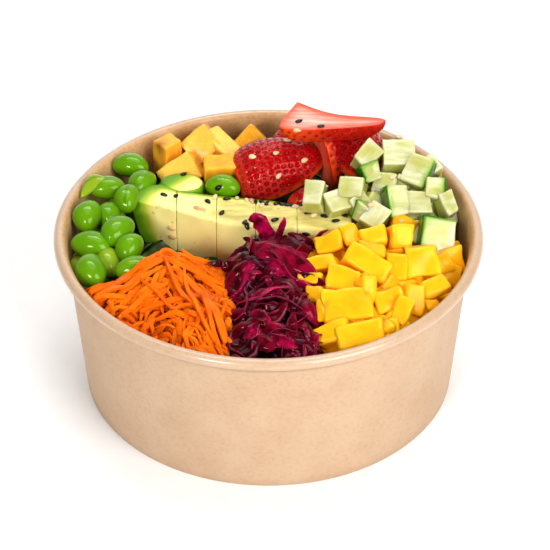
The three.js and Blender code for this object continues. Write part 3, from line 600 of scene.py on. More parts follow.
def avocado_flesh(settings):
    """Avocado, sliced: buttery pale yellow, through yellow-green to bright green at the rind
    side, the cut at the top streaked and painted darker as shade, smooth with a dull shine."""
    material, tree, shader, depth, upper = new_material("sliced_avocado_flesh", "depth", "upper")
    cloud = grain(tree, 0.009, 3.0)
    streak = grain(tree, 0.004, 3.0, stretch=(0.35, 1, 1))
    stops = [(0.0, "#b4cc60"), (0.05, "#4c8a0c"), (0.3, "#6ea212")]
    stops += [(0.5, "#b0c42e"), (0.72, "#ece26a"), (1.0, "#fcf094")]
    rind = add(tree, "ShaderNodeValToRGB", {"Fac": depth}, stops).outputs["Color"]
    links = {"Value": depth, "From Min": 0.5, "From Max": 1.0}
    inner = add(tree, "ShaderNodeMapRange", links).outputs["Result"]
    # painted shade: the cut that looks up is darkened to a duller, streaked yellow
    stops = [(0.36, "#b8a850"), (0.5, "#dac870"), (0.64, "#e6da8c")]
    dull = add(tree, "ShaderNodeValToRGB", {"Fac": streak}, stops).outputs["Color"]
    links = {"Value": grain(tree, 0.0032, 1.0), "From Min": 0.68, "From Max": 0.76, "To Max": 0.6}
    spots = add(tree, "ShaderNodeMapRange", links).outputs["Result"]
    layers = [
        ((cloud, inner), tuple(settings.avocado)),
        ((upper, inner, 0.85), dull),
        (spots, "#a8b02c"),
    ]
    values = {
        "Specular Tint": linear("#f4e8a0"),
        "Roughness": 0.42,
        "Subsurface Weight": 0.2,
        "Subsurface Scale": 0.002,
        "Subsurface Radius": (1.0, 0.9, 0.3),
        "Coat Weight": 0.1,
        "Coat Roughness": 0.25,
    }
    settle(tree, shader, rind, layers, values, streak, 0.25, 0.0005)
    return material


def pineapple_flesh(settings):
    """Pineapple, cut: wet fibrous yellow, its fibres side by side, painted paler towards the
    upper cuts as lit, and brown in an eye that the knife has left."""
    material, tree, shader, tone, own, eye = new_material(
        "cut_pineapple_flesh", "tone", "own", "eye"
    )
    fibre = grain(tree, 0.0018, 4.0, own, (1, 1, 0.16))
    cloud = grain(tree, 0.005, 3.0, own)
    links = {"Value": fibre, "From Min": 0.38, "From Max": 0.62}
    strand = add(tree, "ShaderNodeMapRange", links).outputs["Result"]
    links = {"Value": cloud, "From Min": 0.48, "From Max": 0.66, "To Max": 0.75}
    patch = add(tree, "ShaderNodeMapRange", links).outputs["Result"]
    # painted light: the tone field makes each chunk paler towards its own top
    layers = [(strand, "#eeae1e"), (patch, "#e8920a"), (tone, "#f8d064"), (eye, "#9a4e10")]
    values = {
        "Specular Tint": linear("#ffc850"),
        "Roughness": 0.34,
        "Subsurface Weight": 0.3,
        "Subsurface Scale": 0.003,
        "Subsurface Radius": (1.0, 0.8, 0.15),
        "Coat Weight": 0.2,
        "Coat Roughness": 0.15,
    }
    settle(tree, shader, tuple(settings.pineapple), layers, values, fibre, 0.6, 0.0006)
    return material


def strawberry_skin(settings):
    """Strawberry skin: glossy deep red, painted darker in its dimples as shade, with a painted
    pinkish highlight on the ridges between them."""
    material, tree, shader, dimple, tone = new_material("strawberry_skin", "dimple", "tone")
    cloud = grain(tree, 0.008, 2.0)
    # painted highlight: a ring round each dimple's rim, laid on in random patches
    stops = [(0.03, "#3c3c3c"), (0.14, "#ffffff"), (0.36, "#000000")]
    ridge = add(tree, "ShaderNodeValToRGB", {"Fac": dimple}, stops).outputs["Color"]
    links = {"Value": cloud, "From Min": 0.44, "From Max": 0.6, "To Max": 0.5}
    patch = add(tree, "ShaderNodeMapRange", links).outputs["Result"]
    layers = [(cloud, "#980408"), (tone, "#f04a10")]
    # painted highlight in pink on the ridges, and painted shade in the dimples
    layers += [((ridge, patch), "#e0443c"), ((dimple, 0.65), "#6c0208")]
    values = {
        "Specular Tint": linear("#ff3828"),
        "Specular IOR Level": 0.3,
        "Roughness": 0.24,
        "Subsurface Weight": 0.1,
        "Subsurface Scale": 0.002,
        "Subsurface Radius": (1.0, 0.1, 0.05),
        "Coat Weight": 0.2,
        "Coat Roughness": 0.06,
    }
    pores = grain(tree, 0.0012, 2.0)
    settle(tree, shader, tuple(settings.strawberry), layers, values, pores, 0.12, 0.0002)
    return material


def strawberry_flesh():
    """Strawberry flesh, cut: red under the skin, then salmon with paler rays along the berry."""
    material, tree, shader, depth, own = new_material("cut_strawberry_flesh", "depth", "own")
    rays = grain(tree, 0.0016, 4.0, own, (0.16, 1, 1))
    stops = [(0.0, "#c01408"), (0.07, "#f03c14"), (0.26, "#ea5a38")]
    stops += [(0.45, "#e47a62"), (0.7, "#e4907a"), (1.0, "#eaa896")]
    rind = add(tree, "ShaderNodeValToRGB", {"Fac": depth}, stops).outputs["Color"]
    links = {"Value": rays, "From Min": 0.42, "From Max": 0.64, "To Max": 0.75}
    white = add(tree, "ShaderNodeMapRange", links).outputs["Result"]
    values = {
        "Specular Tint": linear("#ffb0a0"),
        "Roughness": 0.38,
        "Subsurface Weight": 0.15,
        "Subsurface Scale": 0.002,
        "Subsurface Radius": (1.0, 0.3, 0.2),
        "Coat Weight": 0.25,
        "Coat Roughness": 0.15,
    }
    settle(tree, shader, rind, [((white, depth), "#f4d2c4")], values, rays, 0.35, 0.0004)
    return material


def seed_coat(name, dark, pale, roughness):
    """Sesame or berry seed: a hard dry coat, a little uneven in tone from end to end."""
    material, tree, shader, tone = new_material(name, "tone")
    cloud = grain(tree, 0.0012, 2.0)
    layers = [(tone, pale), ((cloud, 0.5), dark)]
    values = {"Roughness": roughness, "Specular IOR Level": 0.3, "Coat Weight": 0.08}
    settle(tree, shader, linear(dark), layers, values, cloud, 0.3, 0.0002)
    return material


def stage_paper(settings):
    """Seamless paper sweep: an even white with hardly any grain."""
    material, tree, shader = new_material("white_paper_sweep")
    layers = [(grain(tree, 0.01, 2.0), "#f5f5f4")]
    values = {"Roughness": 0.9, "Specular IOR Level": 0.1}
    settle(tree, shader, tuple(settings.paper), layers, values)
    return material


# ---- paper bowl

FILM_ROWS = 3  # rows inside the top of the bead that still have the rim's finish


def bowl_profile(settings):
    """Section of the bowl from the axis outside to the axis inside: base disc, foot, slanted
    wall, rolled bead, inner wall, top of the base; each corner held by two close points. With
    it, the rows at which the bead starts and at which its film goes over into the lining."""
    recess = millimetres(settings.base_recess)
    floor = recess + BASE_THICKNESS
    inner_foot = FOOT_RADIUS - millimetres(settings.foot_width)
    tight, half_way, curl = 0.15, 40, 155
    base = [(0, recess), (half_way, recess), (inner_foot - tight, recess)]
    base += [(inner_foot, recess - tight), (inner_foot, tight), (inner_foot + tight, 0)]
    base += [(FOOT_RADIUS - tight, 0), (FOOT_RADIUS, tight)]
    a = np.radians(np.linspace(-curl, curl, 33))
    bead = BEAD_RADIUS * np.stack([np.cos(a), np.sin(a)], -1)
    bead += (RIM_RADIUS - BEAD_RADIUS, BOWL_HEIGHT - BEAD_RADIUS)
    z = np.linspace(4, bead[0, 1] - 0.4, 12)
    outside = np.stack([FOOT_RADIUS + WALL_SLOPE * z, z], -1)
    z = np.linspace(BOWL_HEIGHT - 1.4 * BEAD_RADIUS, floor + tight, 12)
    inside = np.stack([inner_radius(z), z], -1)
    top = [(inner_radius(floor) - tight, floor), (half_way, floor), (0, floor)]
    profile = np.concatenate([base, outside, bead, inside, top])
    return profile, len(base) + len(outside), int(np.argmax(profile[:, 1])) + FILM_ROWS


def paper_bowl(settings):
    """The profile carried round the axis: a point at radius r and height z goes to
    (r cos a, r sin a, z), with the rim's finish on the bead and the film inside it."""
    profile, roll, lining = bowl_profile(settings)
    around = np.radians(np.arange(0, 360, 2.0))
    circle = np.stack([np.cos(around), np.sin(around)], -1)
    rows = [np.column_stack([r * circle, np.full(len(around), z)]) for r, z in profile]
    row = np.repeat(np.arange(1, len(profile) - 2), len(around))
    paint = np.where(row < roll, 0, np.where(row < lining, 2, 1))
    paint = np.concatenate([paint, np.repeat([0, 1], len(around))])
    bowl = shape(*closed_rows(rows), paint=paint)
    materials = [kraft_board(settings), lined_board(settings), rolled_rim(settings)]
    return make_piece("paper_bowl", bowl, materials, ["bowl"])


# ---- leaf bed


def bed_height(x, y):
    """Height of the bed: a mound under the strawberries, creased by two waves."""
    mound = 12 * np.exp(-((x - 8) ** 2 + (y - 44) ** 2) / 480)
    crease = 1.1 * np.sin(0.21 * x + 0.6) * np.cos(0.19 * y)
    return BED_LEVEL + mound + crease + 0.8 * np.sin(0.11 * x - 0.27 * y)


def leaf(length, width, curl, seed):
    """A leaf blade: u along it from -1 to 1 and v across; half width (1-u^2)^0.7, the midrib a
    low fold, the margins wavy, both faces 0.5 mm apart."""
    grid, quads = cube_grid(np.linspace(-1, 1, 13))
    u, v = grid[:, 0], grid[:, 1]
    half = np.maximum(1 - u**2, 0.0) ** 0.7 * width / 2 + 0.2
    x = u * length / 2
    y = v * half
    fold = 0.35 * np.abs(y) + curl * (u * length / 20) ** 2 * 0.3
    wave = 1.2 * np.abs(v) ** 2 * np.sin(5 * u + 3 * v + seed)
    z = fold + wave + 0.25 * grid[:, 2]
    vein = np.exp(-((y / 0.7) ** 2)) + 0.35 * np.exp(-((np.sin(9 * u - 4 * np.abs(v)) / 0.18) ** 2))
    return shape(np.stack([x, y, z], -1), quads, vein=np.clip(vein, 0, 1))


# x, y, turn, tip, roll, length, width of the leaves that lie where the bed shows
LEAVES = [
    (-6, 71, 15, 4, 10, 34, 20),
    (26, 64, -25, 6, -12, 38, 22),
    (46, 54, -50, 4, 8, 34, 20),
    (-28, 69, 30, 3, -8, 30, 16),
    (-46, 60, 50, 4, 10, 26, 16),
    (60, 40, -65, 4, -10, 30, 18),
    (-2, 30, 5, 0, 6, 30, 14),
    (16, 26, -10, 3, -6, 26, 14),
    (-24, 33, 10, 0, 8, 24, 14),
    (-42, 10, 40, 4, 10, 26, 12),
    (-26, 0, -12, 4, -8, 28, 12),
    (-4, 1, 6, 3, 8, 26, 10),
    (70, 10, 80, 2, 10, 24, 12),
    (-48, 25, 70, 2, 6, 22, 12),
]


def leaf_bed(settings):
    """A bed of leaves: a disc whose top follows the bed's height with finer ripples, closed at
    the bowl's floor, and single leaves laid on it where it shows."""
    around = np.radians(np.arange(0, 360, 3.0))
    floor = BASE_RECESS + BASE_THICKNESS + 0.3
    gap = 0.5
    rows = []
    for share in np.concatenate([[0.0], np.linspace(0.02, 1, 44)]):
        radius = share * (inner_radius(BED_LEVEL) - gap)
        x, y = radius * np.cos(around), radius * np.sin(around)
        flat = np.stack([x, y], -1)
        z = bed_height(x, y) - 0.6 + 0.5 * ripple(flat, 5.0, 3) + 0.5 * ripple(flat, 11.0, 4)
        rows.append(np.stack([x, y, z], -1))
    low = inner_radius(floor) - gap
    rows.append(np.stack([low * np.cos(around), low * np.sin(around), np.full_like(x, floor)], -1))
    rows.append(np.tile([0.0, 0.0, floor], (len(around), 1)))
    points, quads, fans = closed_rows(rows[::-1])
    tone = 0.3 + 0.3 * ripple(points, 14.0, 5)
    parts = [shape(points, quads, fans, tone=np.clip(tone, 0, 1))]
    for number, (x, y, turn, tip, roll, length, width) in enumerate(LEAVES):
        blade = with_fields(leaf(length, width, 0.6, number), tone=(number % 4) / 4)
        place = (x, y, float(bed_height(x, y)) + 0.6)
        blade = moved(blade, turned(turn, tip, roll), place)
        blade["points"] = inside_bowl(blade["points"])
        parts.append(blade)
    return make_piece("salad_leaves", joined(parts), [leaf_blade(settings)], ["leaf_bed"])


# ---- heaps

# Outline in plan, peaks as x, y, height, half width and half depth, the middle that the outline
# is seen from, and the y behind which the heap slopes down
HEAPS = {
    "edamame": {
        "region": [(-82, -35), (-67, -32), (-56, -27), (-42, -25), (-42, -12), (-49, 2), (-55, 18)]
        + [(-46, 36), (-47, 50), (-82, 50)],
        "peaks": [(-60, 12, 63, 60, 120)],
        "middle": (-62, 8),
        "back": 80,
    },
    "carrot": {
        "region": [(-82, -35.6), (-67, -32.6), (-56, -27.6), (-41.4, -25.6), (-41.4, -12.2)]
        + [(-44.6, -5), (-44.6, 6), (-36, 6), (-13.4, -4), (-13.4, -82), (-82, -82)],
        "peaks": [(-38, -22, 70, 22, 26), (-62, -37, 65.5, 24, 24), (-28, -44, 65.5, 26, 26)],
        "middle": (-32, -30),
        "back": -18.5,
    },
    "cabbage": {
        "region": [(-12.8, 6), (12, 6), (12, -30), (25, -82), (-12.8, -82)],
        "peaks": [(0, -18, 73, 14, 20), (3, -44, 67, 22, 26)],
        "middle": (2, -36),
        "back": -6,
    },
    "mango": {
        "region": [(12.6, 4), (30.4, 4), (30.4, -0.6), (54, -2), (58, -8), (82, -8), (82, -82)]
        + [(25.6, -82), (12.6, -30)],
        "peaks": [(40, -14, 67, 40, 34), (36, -46, 63, 34, 26)],
        "middle": (38, -26),
        "back": -3,
    },
    "cucumber": {
        "region": [(31, 24), (31, 0), (54, -1.4), (58, -7.4), (70, -7.4), (70, 24), (60, 44)]
        + [(46, 52)],
        "peaks": [(50, 24, 73, 24, 28), (40, 10, 69, 26, 20)],
        "middle": (50, 18),
        "back": 80,
    },
}


def heap_height(heap, x, y):
    """Height of a heap: the highest of its peaks, each less a fall that grows as the distance,
    in half widths, to the power 1.5; behind its back line it also slopes down."""
    front = np.minimum(y, heap["back"])
    tops = [
        top - PEAK_FALL * np.hypot((x - cx) / wide, (front - cy) / deep) ** 1.5
        for cx, cy, top, wide, deep in heap["peaks"]
    ]
    return np.max(tops, axis=0) - BACK_SLOPE * np.maximum(0, y - heap["back"])


def in_region(heap, x, y, margin):
    """Whether points lie in the heap's outline: the number of sides that a ray towards +x
    crosses is odd. The margin shrinks the outline towards the heap's middle."""
    corners = np.array(heap["region"], float)
    corners = corners + unit_vectors(np.array(heap["middle"]) - corners) * margin
    inside = np.zeros(np.shape(x), bool)
    for (x0, y0), (x1, y1) in zip(corners, np.roll(corners, -1, axis=0)):
        crosses = (y0 > y) != (y1 > y)
        at = x0 + (y - y0) * (x1 - x0) / (y1 - y0 if y1 != y0 else 1e-9)
        inside ^= crosses & (x < at)
    return inside


def heap_core(heap, drop, seed, paint=0, **levels):
    """What fills a heap under its pieces: from its middle out to its outline, or to the wall, the
    top at the heap's height less the drop, rippled, and closed by a flat underside. Each ray
    from the middle ends where it first crosses a side of the outline, found by cross products."""
    middle = np.array(heap["middle"], float)
    corners = np.array(heap["region"], float)
    angles = np.linspace(0, 2 * math.pi, 96, endpoint=False)
    ways = np.stack([np.cos(angles), np.sin(angles)], -1)
    b = ways @ middle
    reach = np.sqrt(b * b - middle @ middle + HEAP_REACH**2) - b
    for p, q in zip(corners - middle, np.roll(corners, -1, axis=0) - middle):
        side = q - p
        cross = ways[:, 0] * side[1] - ways[:, 1] * side[0]
        cross[np.abs(cross) < 1e-9] = np.inf
        t = (p[0] * side[1] - p[1] * side[0]) / cross
        s = (p[0] * ways[:, 1] - p[1] * ways[:, 0]) / cross
        reach = np.where((t > 0) & (s >= 0) & (s <= 1), np.minimum(reach, t), reach)
    spokes = (reach - 0.8)[:, None] * ways
    rows = [np.tile([*middle, CORE_BOTTOM], (len(angles), 1))]
    rows.append(np.column_stack([middle + spokes, np.full(len(angles), CORE_BOTTOM)]))
    for share in np.linspace(1, 0, 22):
        at = middle + share * spokes
        top = heap_height(heap, at[:, 0], at[:, 1]) - drop + 0.7 * ripple(at, 6.0, seed)
        rows.append(np.column_stack([at, np.maximum(top, CORE_BOTTOM + 0.5)]))
    points, quads, fans = closed_rows(rows)
    core = shape(inside_bowl(points), quads, fans, paint=paint, own=points * MM)
    return with_fields(core, **levels)


def heap_piece(name, parts, core, materials, node, flat=False):
    """One piece of a heap's parts, kept inside the bowl, and of the core that they lie on."""
    whole = joined(parts)
    whole["points"] = inside_bowl(whole["points"])
    return make_piece(name, joined([whole, core]), materials, [node], flat)


def spread(heap, gap, seed, margin):
    """Places over a heap: a staggered grid of that gap, each shifted by up to a third of it."""
    random = np.random.default_rng(seed)
    line = np.arange(-FIELD, FIELD, gap)
    rows = np.arange(-FIELD, FIELD, gap * 0.87)
    x = np.concatenate([line + (k % 2) * gap / 2 for k in range(len(rows))])
    y = np.repeat(rows, len(line))
    x = x + random.uniform(-gap / 3, gap / 3, len(x))
    y = y + random.uniform(-gap / 3, gap / 3, len(y))
    wall = np.hypot(x, y) < inner_radius(56) - margin
    keep = in_region(heap, x, y, margin) & wall
    return x[keep], y[keep], random


# ---- edamame

# x, y, z of the middle, length, thickness, turn, tip, crease, yellowness
EDAMAME = [
    (-55, 45, 65, 14.8, 9.6, -12, 0, 0.0, 0.0),
    (-50, 33, 65, 13.5, 9.4, 55, 0, 0.5, 0.0),
    (-63, 27, 67, 14, 9, 6, 0, 0.8, 0.05),
    (-55, 20, 67, 13, 9, 80, 15, 1.0, 0.0),
    (-70, 11, 65, 14, 10.4, 80, 18, 0.0, 0.0),
    (-62, 15, 63, 12, 9, 75, 0, 0.3, 0.0),
    (-58, 0, 66, 15.6, 10.6, 52, 4, 0.0, 0.0),
    (-68, -5, 63, 16, 10.4, -14, 0, 0.0, 0.0),
    (-53, -8, 64, 12.5, 9.8, 60, 20, 0.0, 0.0),
    (-61, -12, 60, 13, 9, 100, 20, 0.0, 0.45),
    (-67, -21, 63, 15.5, 10.8, 105, 10, 0.0, 0.0),
    (-50, -20, 63, 16.5, 9.4, 4, 0, 0.0, 0.1),
    (-72, -9, 55, 12, 9, 90, 0, 0.0, 0.5),
]
LONE_BEAN = (-18, 29.5, 66, 14, 9, -12, 0, 0.0, 0.0)
HUSK = (-70, 26.5, 68.5, 13, 4.2, 28, 26)  # the same up to the tip, for a split skin


def bean(length, thickness, crease, yellow, detail=12, bend=0.6):
    """A bean: the ball (x, y, z) to x L/2, y T/2 (1 + 0.1(1 - x^2)) + b (1 - 2x^2) and z T/2,
    with a groove along y = 0 on the top."""
    unit, quads = ball(detail)
    x, y, z = unit.T
    fuller = 1 + 0.1 * (1 - x * x)
    groove = crease * np.exp(-((y / 0.09) ** 2)) * smoothstep(0, 0.4, z) * (1 - x**4)
    slack = 1 - 0.05 * groove - 0.01 * ripple(unit, 1.3, int(length * 10))
    side = (y * fuller * thickness / 2) * slack + bend * (1 - 2 * x * x)
    points = np.stack([x * length / 2 * slack, side, z * thickness / 2 * slack], -1)
    return shape(points, quads, tone=np.full(len(points), yellow), crease=0.6 * groove)


def placed_bean(x, y, z, length, thickness, turn, tip, crease, yellow):
    """A bean at its place."""
    return moved(bean(length, thickness, crease, yellow), turned(turn, tip), (x, y, z))


def edamame_heap(settings):
    """The shelled beans that show, more beans under them and the core that they lie on, in the
    dark leaf material: leaves, and also a painted shade between the beans.
    """
    heap = HEAPS["edamame"]
    parts = [placed_bean(*row) for row in EDAMAME]
    xs, ys, random = spread(heap, gap=10.5, seed=21, margin=6.0)
    for x, y in zip(xs, ys):
        body = bean(random.uniform(12, 15), 9, 0.0, random.uniform(0, 0.3), detail=7)
        turn = turned(random.uniform(0, 180), random.uniform(-20, 20))
        parts.append(moved(body, turn, (x, y, heap_height(heap, x, y) - 7.5)))
    x, y, z, length, thickness, turn, tip = HUSK
    husk = bean(length, thickness, 1.0, 0.5)
    husk["points"] = husk["points"] * [1, 1.9, 1]
    parts.append(moved(husk, turned(turn, tip), (x, y, z)))
    # the core takes the dark leaf material: the leaves under the beans, and also a painted shade
    # where it shows between them
    core = heap_core(heap, drop=9.0, seed=2, paint=1)
    materials = [bean_skin(settings), leaf_blade(settings)]
    return heap_piece("shelled_edamame", parts, core, materials, "edamame_heap")


def lone_bean(settings):
    """The bean that lies by itself against the pineapple."""
    body = placed_bean(*LONE_BEAN)
    return make_piece("loose_bean", body, [bean_skin(settings)], ["edamame_bean"])


# ---- carrot and cabbage


def arcs(heap, rows, steps, wave, seed):
    """Lines over a heap, one per row of x, y, lift, turn, length, bend and dip: an arc in plan
    whose height is the heap's plus the lift, less the dip towards both ends, with a small wave."""
    rows = np.asarray(rows, float)
    s = np.linspace(-0.5, 0.5, steps)[None]
    x, y, lift, turn, length, bend, dip = (rows[:, k, None] for k in range(7))
    angle = np.radians(turn + bend * s)
    px = x + length * s * np.cos(angle)
    py = y + length * s * np.sin(angle)
    random = np.random.default_rng(seed)
    phase = random.uniform(0, 2 * math.pi, (len(rows), 2, 1))
    pace = random.uniform(6, 13, (len(rows), 2, 1))
    px = px + wave * np.sin(pace[:, 0] * s + phase[:, 0]) * np.sin(angle)
    py = py - wave * np.sin(pace[:, 0] * s + phase[:, 0]) * np.cos(angle)
    pz = heap_height(heap, px, py) + lift - dip * (2 * s) ** 2
    pz = pz + wave * np.sin(pace[:, 1] * s + phase[:, 1])
    return inside_bowl(np.stack([px, py, np.maximum(pz, CORE_BOTTOM)], -1), 0.9)


# x, y, lift over the heap, turn, length, bend, dip of the shreds that show most
CARROT_SHREDS = [
    (-40, -24, 0.4, 20, 30, 20, 2.5),
    (-55, -34, 1.5, 35, 32, 10, 2.5),
    (-26, -26, 0.4, -30, 28, -20, 2.5),
    (-28, -44, 2.0, -70, 44, 20, 2.0),
    (-42, -38, 1.5, -50, 30, 10, 2.5),
    (-60, -40, 1.0, 15, 20, 0, 2.5),
    (-47, -23, 0.5, 42, 30, -8, 2.0),
    (-52, -27, 1.4, 38, 34, -6, 2.0),
    (-58, -31, 1.0, 32, 30, -10, 2.0),
    (-30, -20, 0.2, -28, 30, 8, 2.0),
    (-24, -23, 0.2, -38, 30, 6, 2.0),
    (-34, -36, 2.2, -62, 34, 14, 2.0),
    (-22, -50, 1.8, -75, 34, 10, 2.0),
    (-66, -38, 1.4, 28, 24, 6, 2.0),
]

# Width and path of the longest carrot strands, which lie on the others
CARROT_STRANDS = [
    (3, [(-35.4, -26.2, 69.7), (-30.9, -31.1, 67.3), (-25.5, -36.8, 64.6), (-20.9, -44.7, 64.7),
     (-18.6, -50.1, 63.3), (-17, -55.4, 61.4), (-15.9, -60, 59.4)]),
    (2.2, [(-41.7, -19.6, 69.9), (-36.2, -24.5, 70.3), (-31, -26, 68.6), (-23.9, -27.1, 65.2),
     (-17.5, -27.8, 61.4)]),
    (2.4, [(-62.6, -40.5, 65.6), (-58.5, -34, 65.3), (-52.1, -26, 65.3), (-44.6, -23.9, 68.9),
     (-39, -21.8, 70.6)]),
    (2, [(-59.6, -42.7, 64.5), (-53.7, -33.7, 63.6), (-46.3, -29.6, 67.1), (-39.6, -26.6, 69.5)]),
    (2.4, [(-47.7, -44, 61.3), (-41.1, -42.1, 63.6), (-33.6, -40.8, 64.9), (-26.6, -39.6, 65.4)]),
    (2, [(-55.7, -48.5, 62), (-50.7, -42.8, 62.2), (-44.2, -37.1, 65.3), (-37.5, -34.2, 67.3)]),
    (2, [(-32.8, -15.7, 68.8), (-28.9, -19.6, 68), (-23.7, -18.6, 65.3), (-17.7, -16.1, 61.5)]),
    (2, [(-42, -21, 70), (-39.1, -18.6, 71), (-36.4, -19.2, 70.5), (-34.1, -21, 69)]),
]

# The same as the carrot's rows, for the cabbage
CABBAGE_SHREDS = [
    (-5, -12, 0.0, 80, 20, 30, 2.0),
    (6, -26, 2.0, -35, 28, 10, 1.5),
    (0, -40, 2.0, 20, 24, 40, 2.0),
    (10, -14, 0.5, 60, 18, -20, 2.0),
    (8, -32, 2.6, -20, 20, 20, 2.0),
]


def scattered_rows(heap, count, seed, turn_of, spread_turn, lengths, lifts, bend, margin):
    """Rows for arcs: places drawn evenly in the region, each turned as the rule says give or
    take the spread, with drawn length, lift and bend, and a dip that grows with its length."""
    random = np.random.default_rng(seed)
    rows = []
    low = np.min(heap["region"], axis=0)
    high = np.max(heap["region"], axis=0)
    while len(rows) < count:
        x, y = random.uniform(low, high)
        inside = in_region(heap, np.array([x]), np.array([y]), margin)[0]
        if math.hypot(x, y) > SHRED_REACH or not inside:
            continue
        turn = turn_of(x, y) + random.uniform(-spread_turn, spread_turn)
        length = random.uniform(*lengths)
        lift = random.uniform(*lifts)
        rows.append((x, y, lift, turn, length, random.uniform(-bend, bend), 1.2 + 0.08 * length))
    return rows


def carrot_heap(settings):
    """Grated carrot: hundreds of flat shreds in layers over their core, those near the ridge
    running along it and the others down the slope, with the longest strands on top."""
    heap = HEAPS["carrot"]
    random = np.random.default_rng(8)
    loose = scattered_rows(
        heap, settings.carrot_shreds, seed=4, turn_of=lambda x, y: 34 if x < -38 else -50,
        spread_turn=50, lengths=(5, 17), lifts=(-4.2, 0.7), bend=55, margin=1.2,
    )
    steps, strands = 12, len(CARROT_STRANDS)
    lines = np.concatenate(
        [
            arcs(heap, CARROT_SHREDS + loose, steps, wave=0.2, seed=6),
            np.stack([hermite(path, steps) for _, path in CARROT_STRANDS]),
        ]
    )
    count = len(lines)
    s = np.linspace(-1, 1, steps)[None]
    width = random.uniform(0.8, 2.2, (count, 1))
    width[: len(CARROT_SHREDS)] = random.uniform(1.2, 2.3, (len(CARROT_SHREDS), 1))
    width[-strands:, 0] = [broad for broad, _ in CARROT_STRANDS]
    width = width * (1 - 0.55 * np.abs(s) ** 3) * random.uniform(0.75, 1.25, (count, steps))
    thick = random.uniform(0.6, 1.1, (count, 1)) * random.uniform(0.8, 1.2, (count, steps))
    twist = random.uniform(-1.0, 1.0, (count, 1)) * s + random.uniform(-0.7, 0.5, (count, 1))
    twist[-strands:] *= 0.3
    facing = np.tile([0.0, -0.5, 1.0], (count, 1)) + random.normal(0, 0.3, (count, 3))
    points, quads, _ = ribbons(lines, width, thick, twist, 0.15 + 0 * width, facing=facing)
    each = len(points) // count
    tone = np.repeat(random.uniform(0, 1, count), each)
    lifts = np.array([row[2] for row in CARROT_SHREDS + loose] + [1.0] * strands)
    # painted shade: shreds more than 0.7 mm down get darker over the next few millimetres
    deep = np.repeat(np.clip((-0.7 - lifts) / 3.4, 0, 0.8), each)
    shreds = [shape(points, quads, tone=tone, deep=deep)]
    # painted shade: the core is dark red all over
    core = heap_core(heap, drop=5.4, seed=9, deep=1.0)
    material = [grated_root(settings)]
    return heap_piece("grated_carrot", shreds, core, material, "carrot_heap", flat=True)


# Width, tone, facing and path of the cabbage ribbons that stand up or lie on top
CABBAGE_RIBBONS = [
    (6.4, 0.86, (0.2, -1, 0.3), [(-7.6, -4, 74.2), (-4.8, -4, 74.9), (-1.7, -5, 71.3),
     (-0.2, -6, 66.3), (0.2, -9, 62)]),
    (3.6, 0.9, (0.5, -1, 0.2), [(6.3, -3, 74.6), (4.8, -4.5, 70.4), (2.5, -7, 65.6), (1, -10, 61)]),
    (7.6, 0.75, (-0.1, -0.8, 0.7), [(-8.1, -12.2, 68.3), (-2.4, -20.9, 73.2), (6.3, -22.9, 71),
     (12, -25.2, 69), (18.4, -29.4, 66.6)]),
    (11, 0.42, (0.2, -0.9, 0.5), [(5.6, -6, 68.4), (8.9, -14.7, 67.6), (13.1, -13.7, 63.5),
     (19, -6.2, 54.9)]),
    (5, 0.3, (0.1, -0.9, 0.6), [(7.5, -2, 66.5), (12.1, -3, 64.3), (17.5, -5, 61),
     (20.2, -6, 59.5)]),
    (2.6, 0.4, (0, -1, 0.6), [(-22.9, -20.8, 66.8), (-20.2, -19.8, 65.3), (-17.2, -18.2, 64),
     (-14, -18.6, 64.6), (-10.8, -19.5, 66.8)]),
    (2, 0.6, (0, -1, 0.6), [(-9.8, -2, 64.3), (-7.5, -4, 64.8), (-4.8, -7, 65.3)]),
    (1.7, 0.5, (0.3, -1, 0.2), [(16.7, -4, 60.5), (18.2, -4, 64.3), (19.7, -3.5, 67.3),
     (22.8, -2, 68.1)]),
    (4, 0.45, (0, -0.9, 0.6), [(12.4, -28, 67.4), (16.8, -31, 66.3), (21.5, -33.8, 66.3)]),
    (7, 0.9, (-0.1, -0.7, 0.8), [(-9, -24, 62), (-6, -30, 62.5), (-2, -34, 61), (1, -37, 59)]),
    (8, 1, (0, -0.6, 0.8), [(-10, -42, 59.5), (-6, -44, 60.6), (-1, -46, 60), (3, -50, 58)]),
    (6, 0.55, (0.2, -0.7, 0.8), [(6, -28, 62.5), (10, -34, 62), (12, -40, 60.5), (13, -46, 58)]),
    (7, 0.75, (0.1, -0.7, 0.7), [(4, -52, 58.5), (9, -56, 58), (14, -58, 56.5)]),
    (6, 0.5, (0, -0.7, 0.7), [(-4.5, -59, 61.5), (-1.6, -62, 61.1), (3, -64, 60.3)]),
    (5, 0.9, (0, -0.8, 0.6), [(0.6, -59, 62.6), (5, -61.5, 61.4), (11.6, -62.5, 59.7)]),
    (6.5, 0.7, (0, -0.7, 0.8), [(-2.3, -55.4, 63.5), (2.1, -57.5, 63.3), (7, -59, 62.3)]),
]


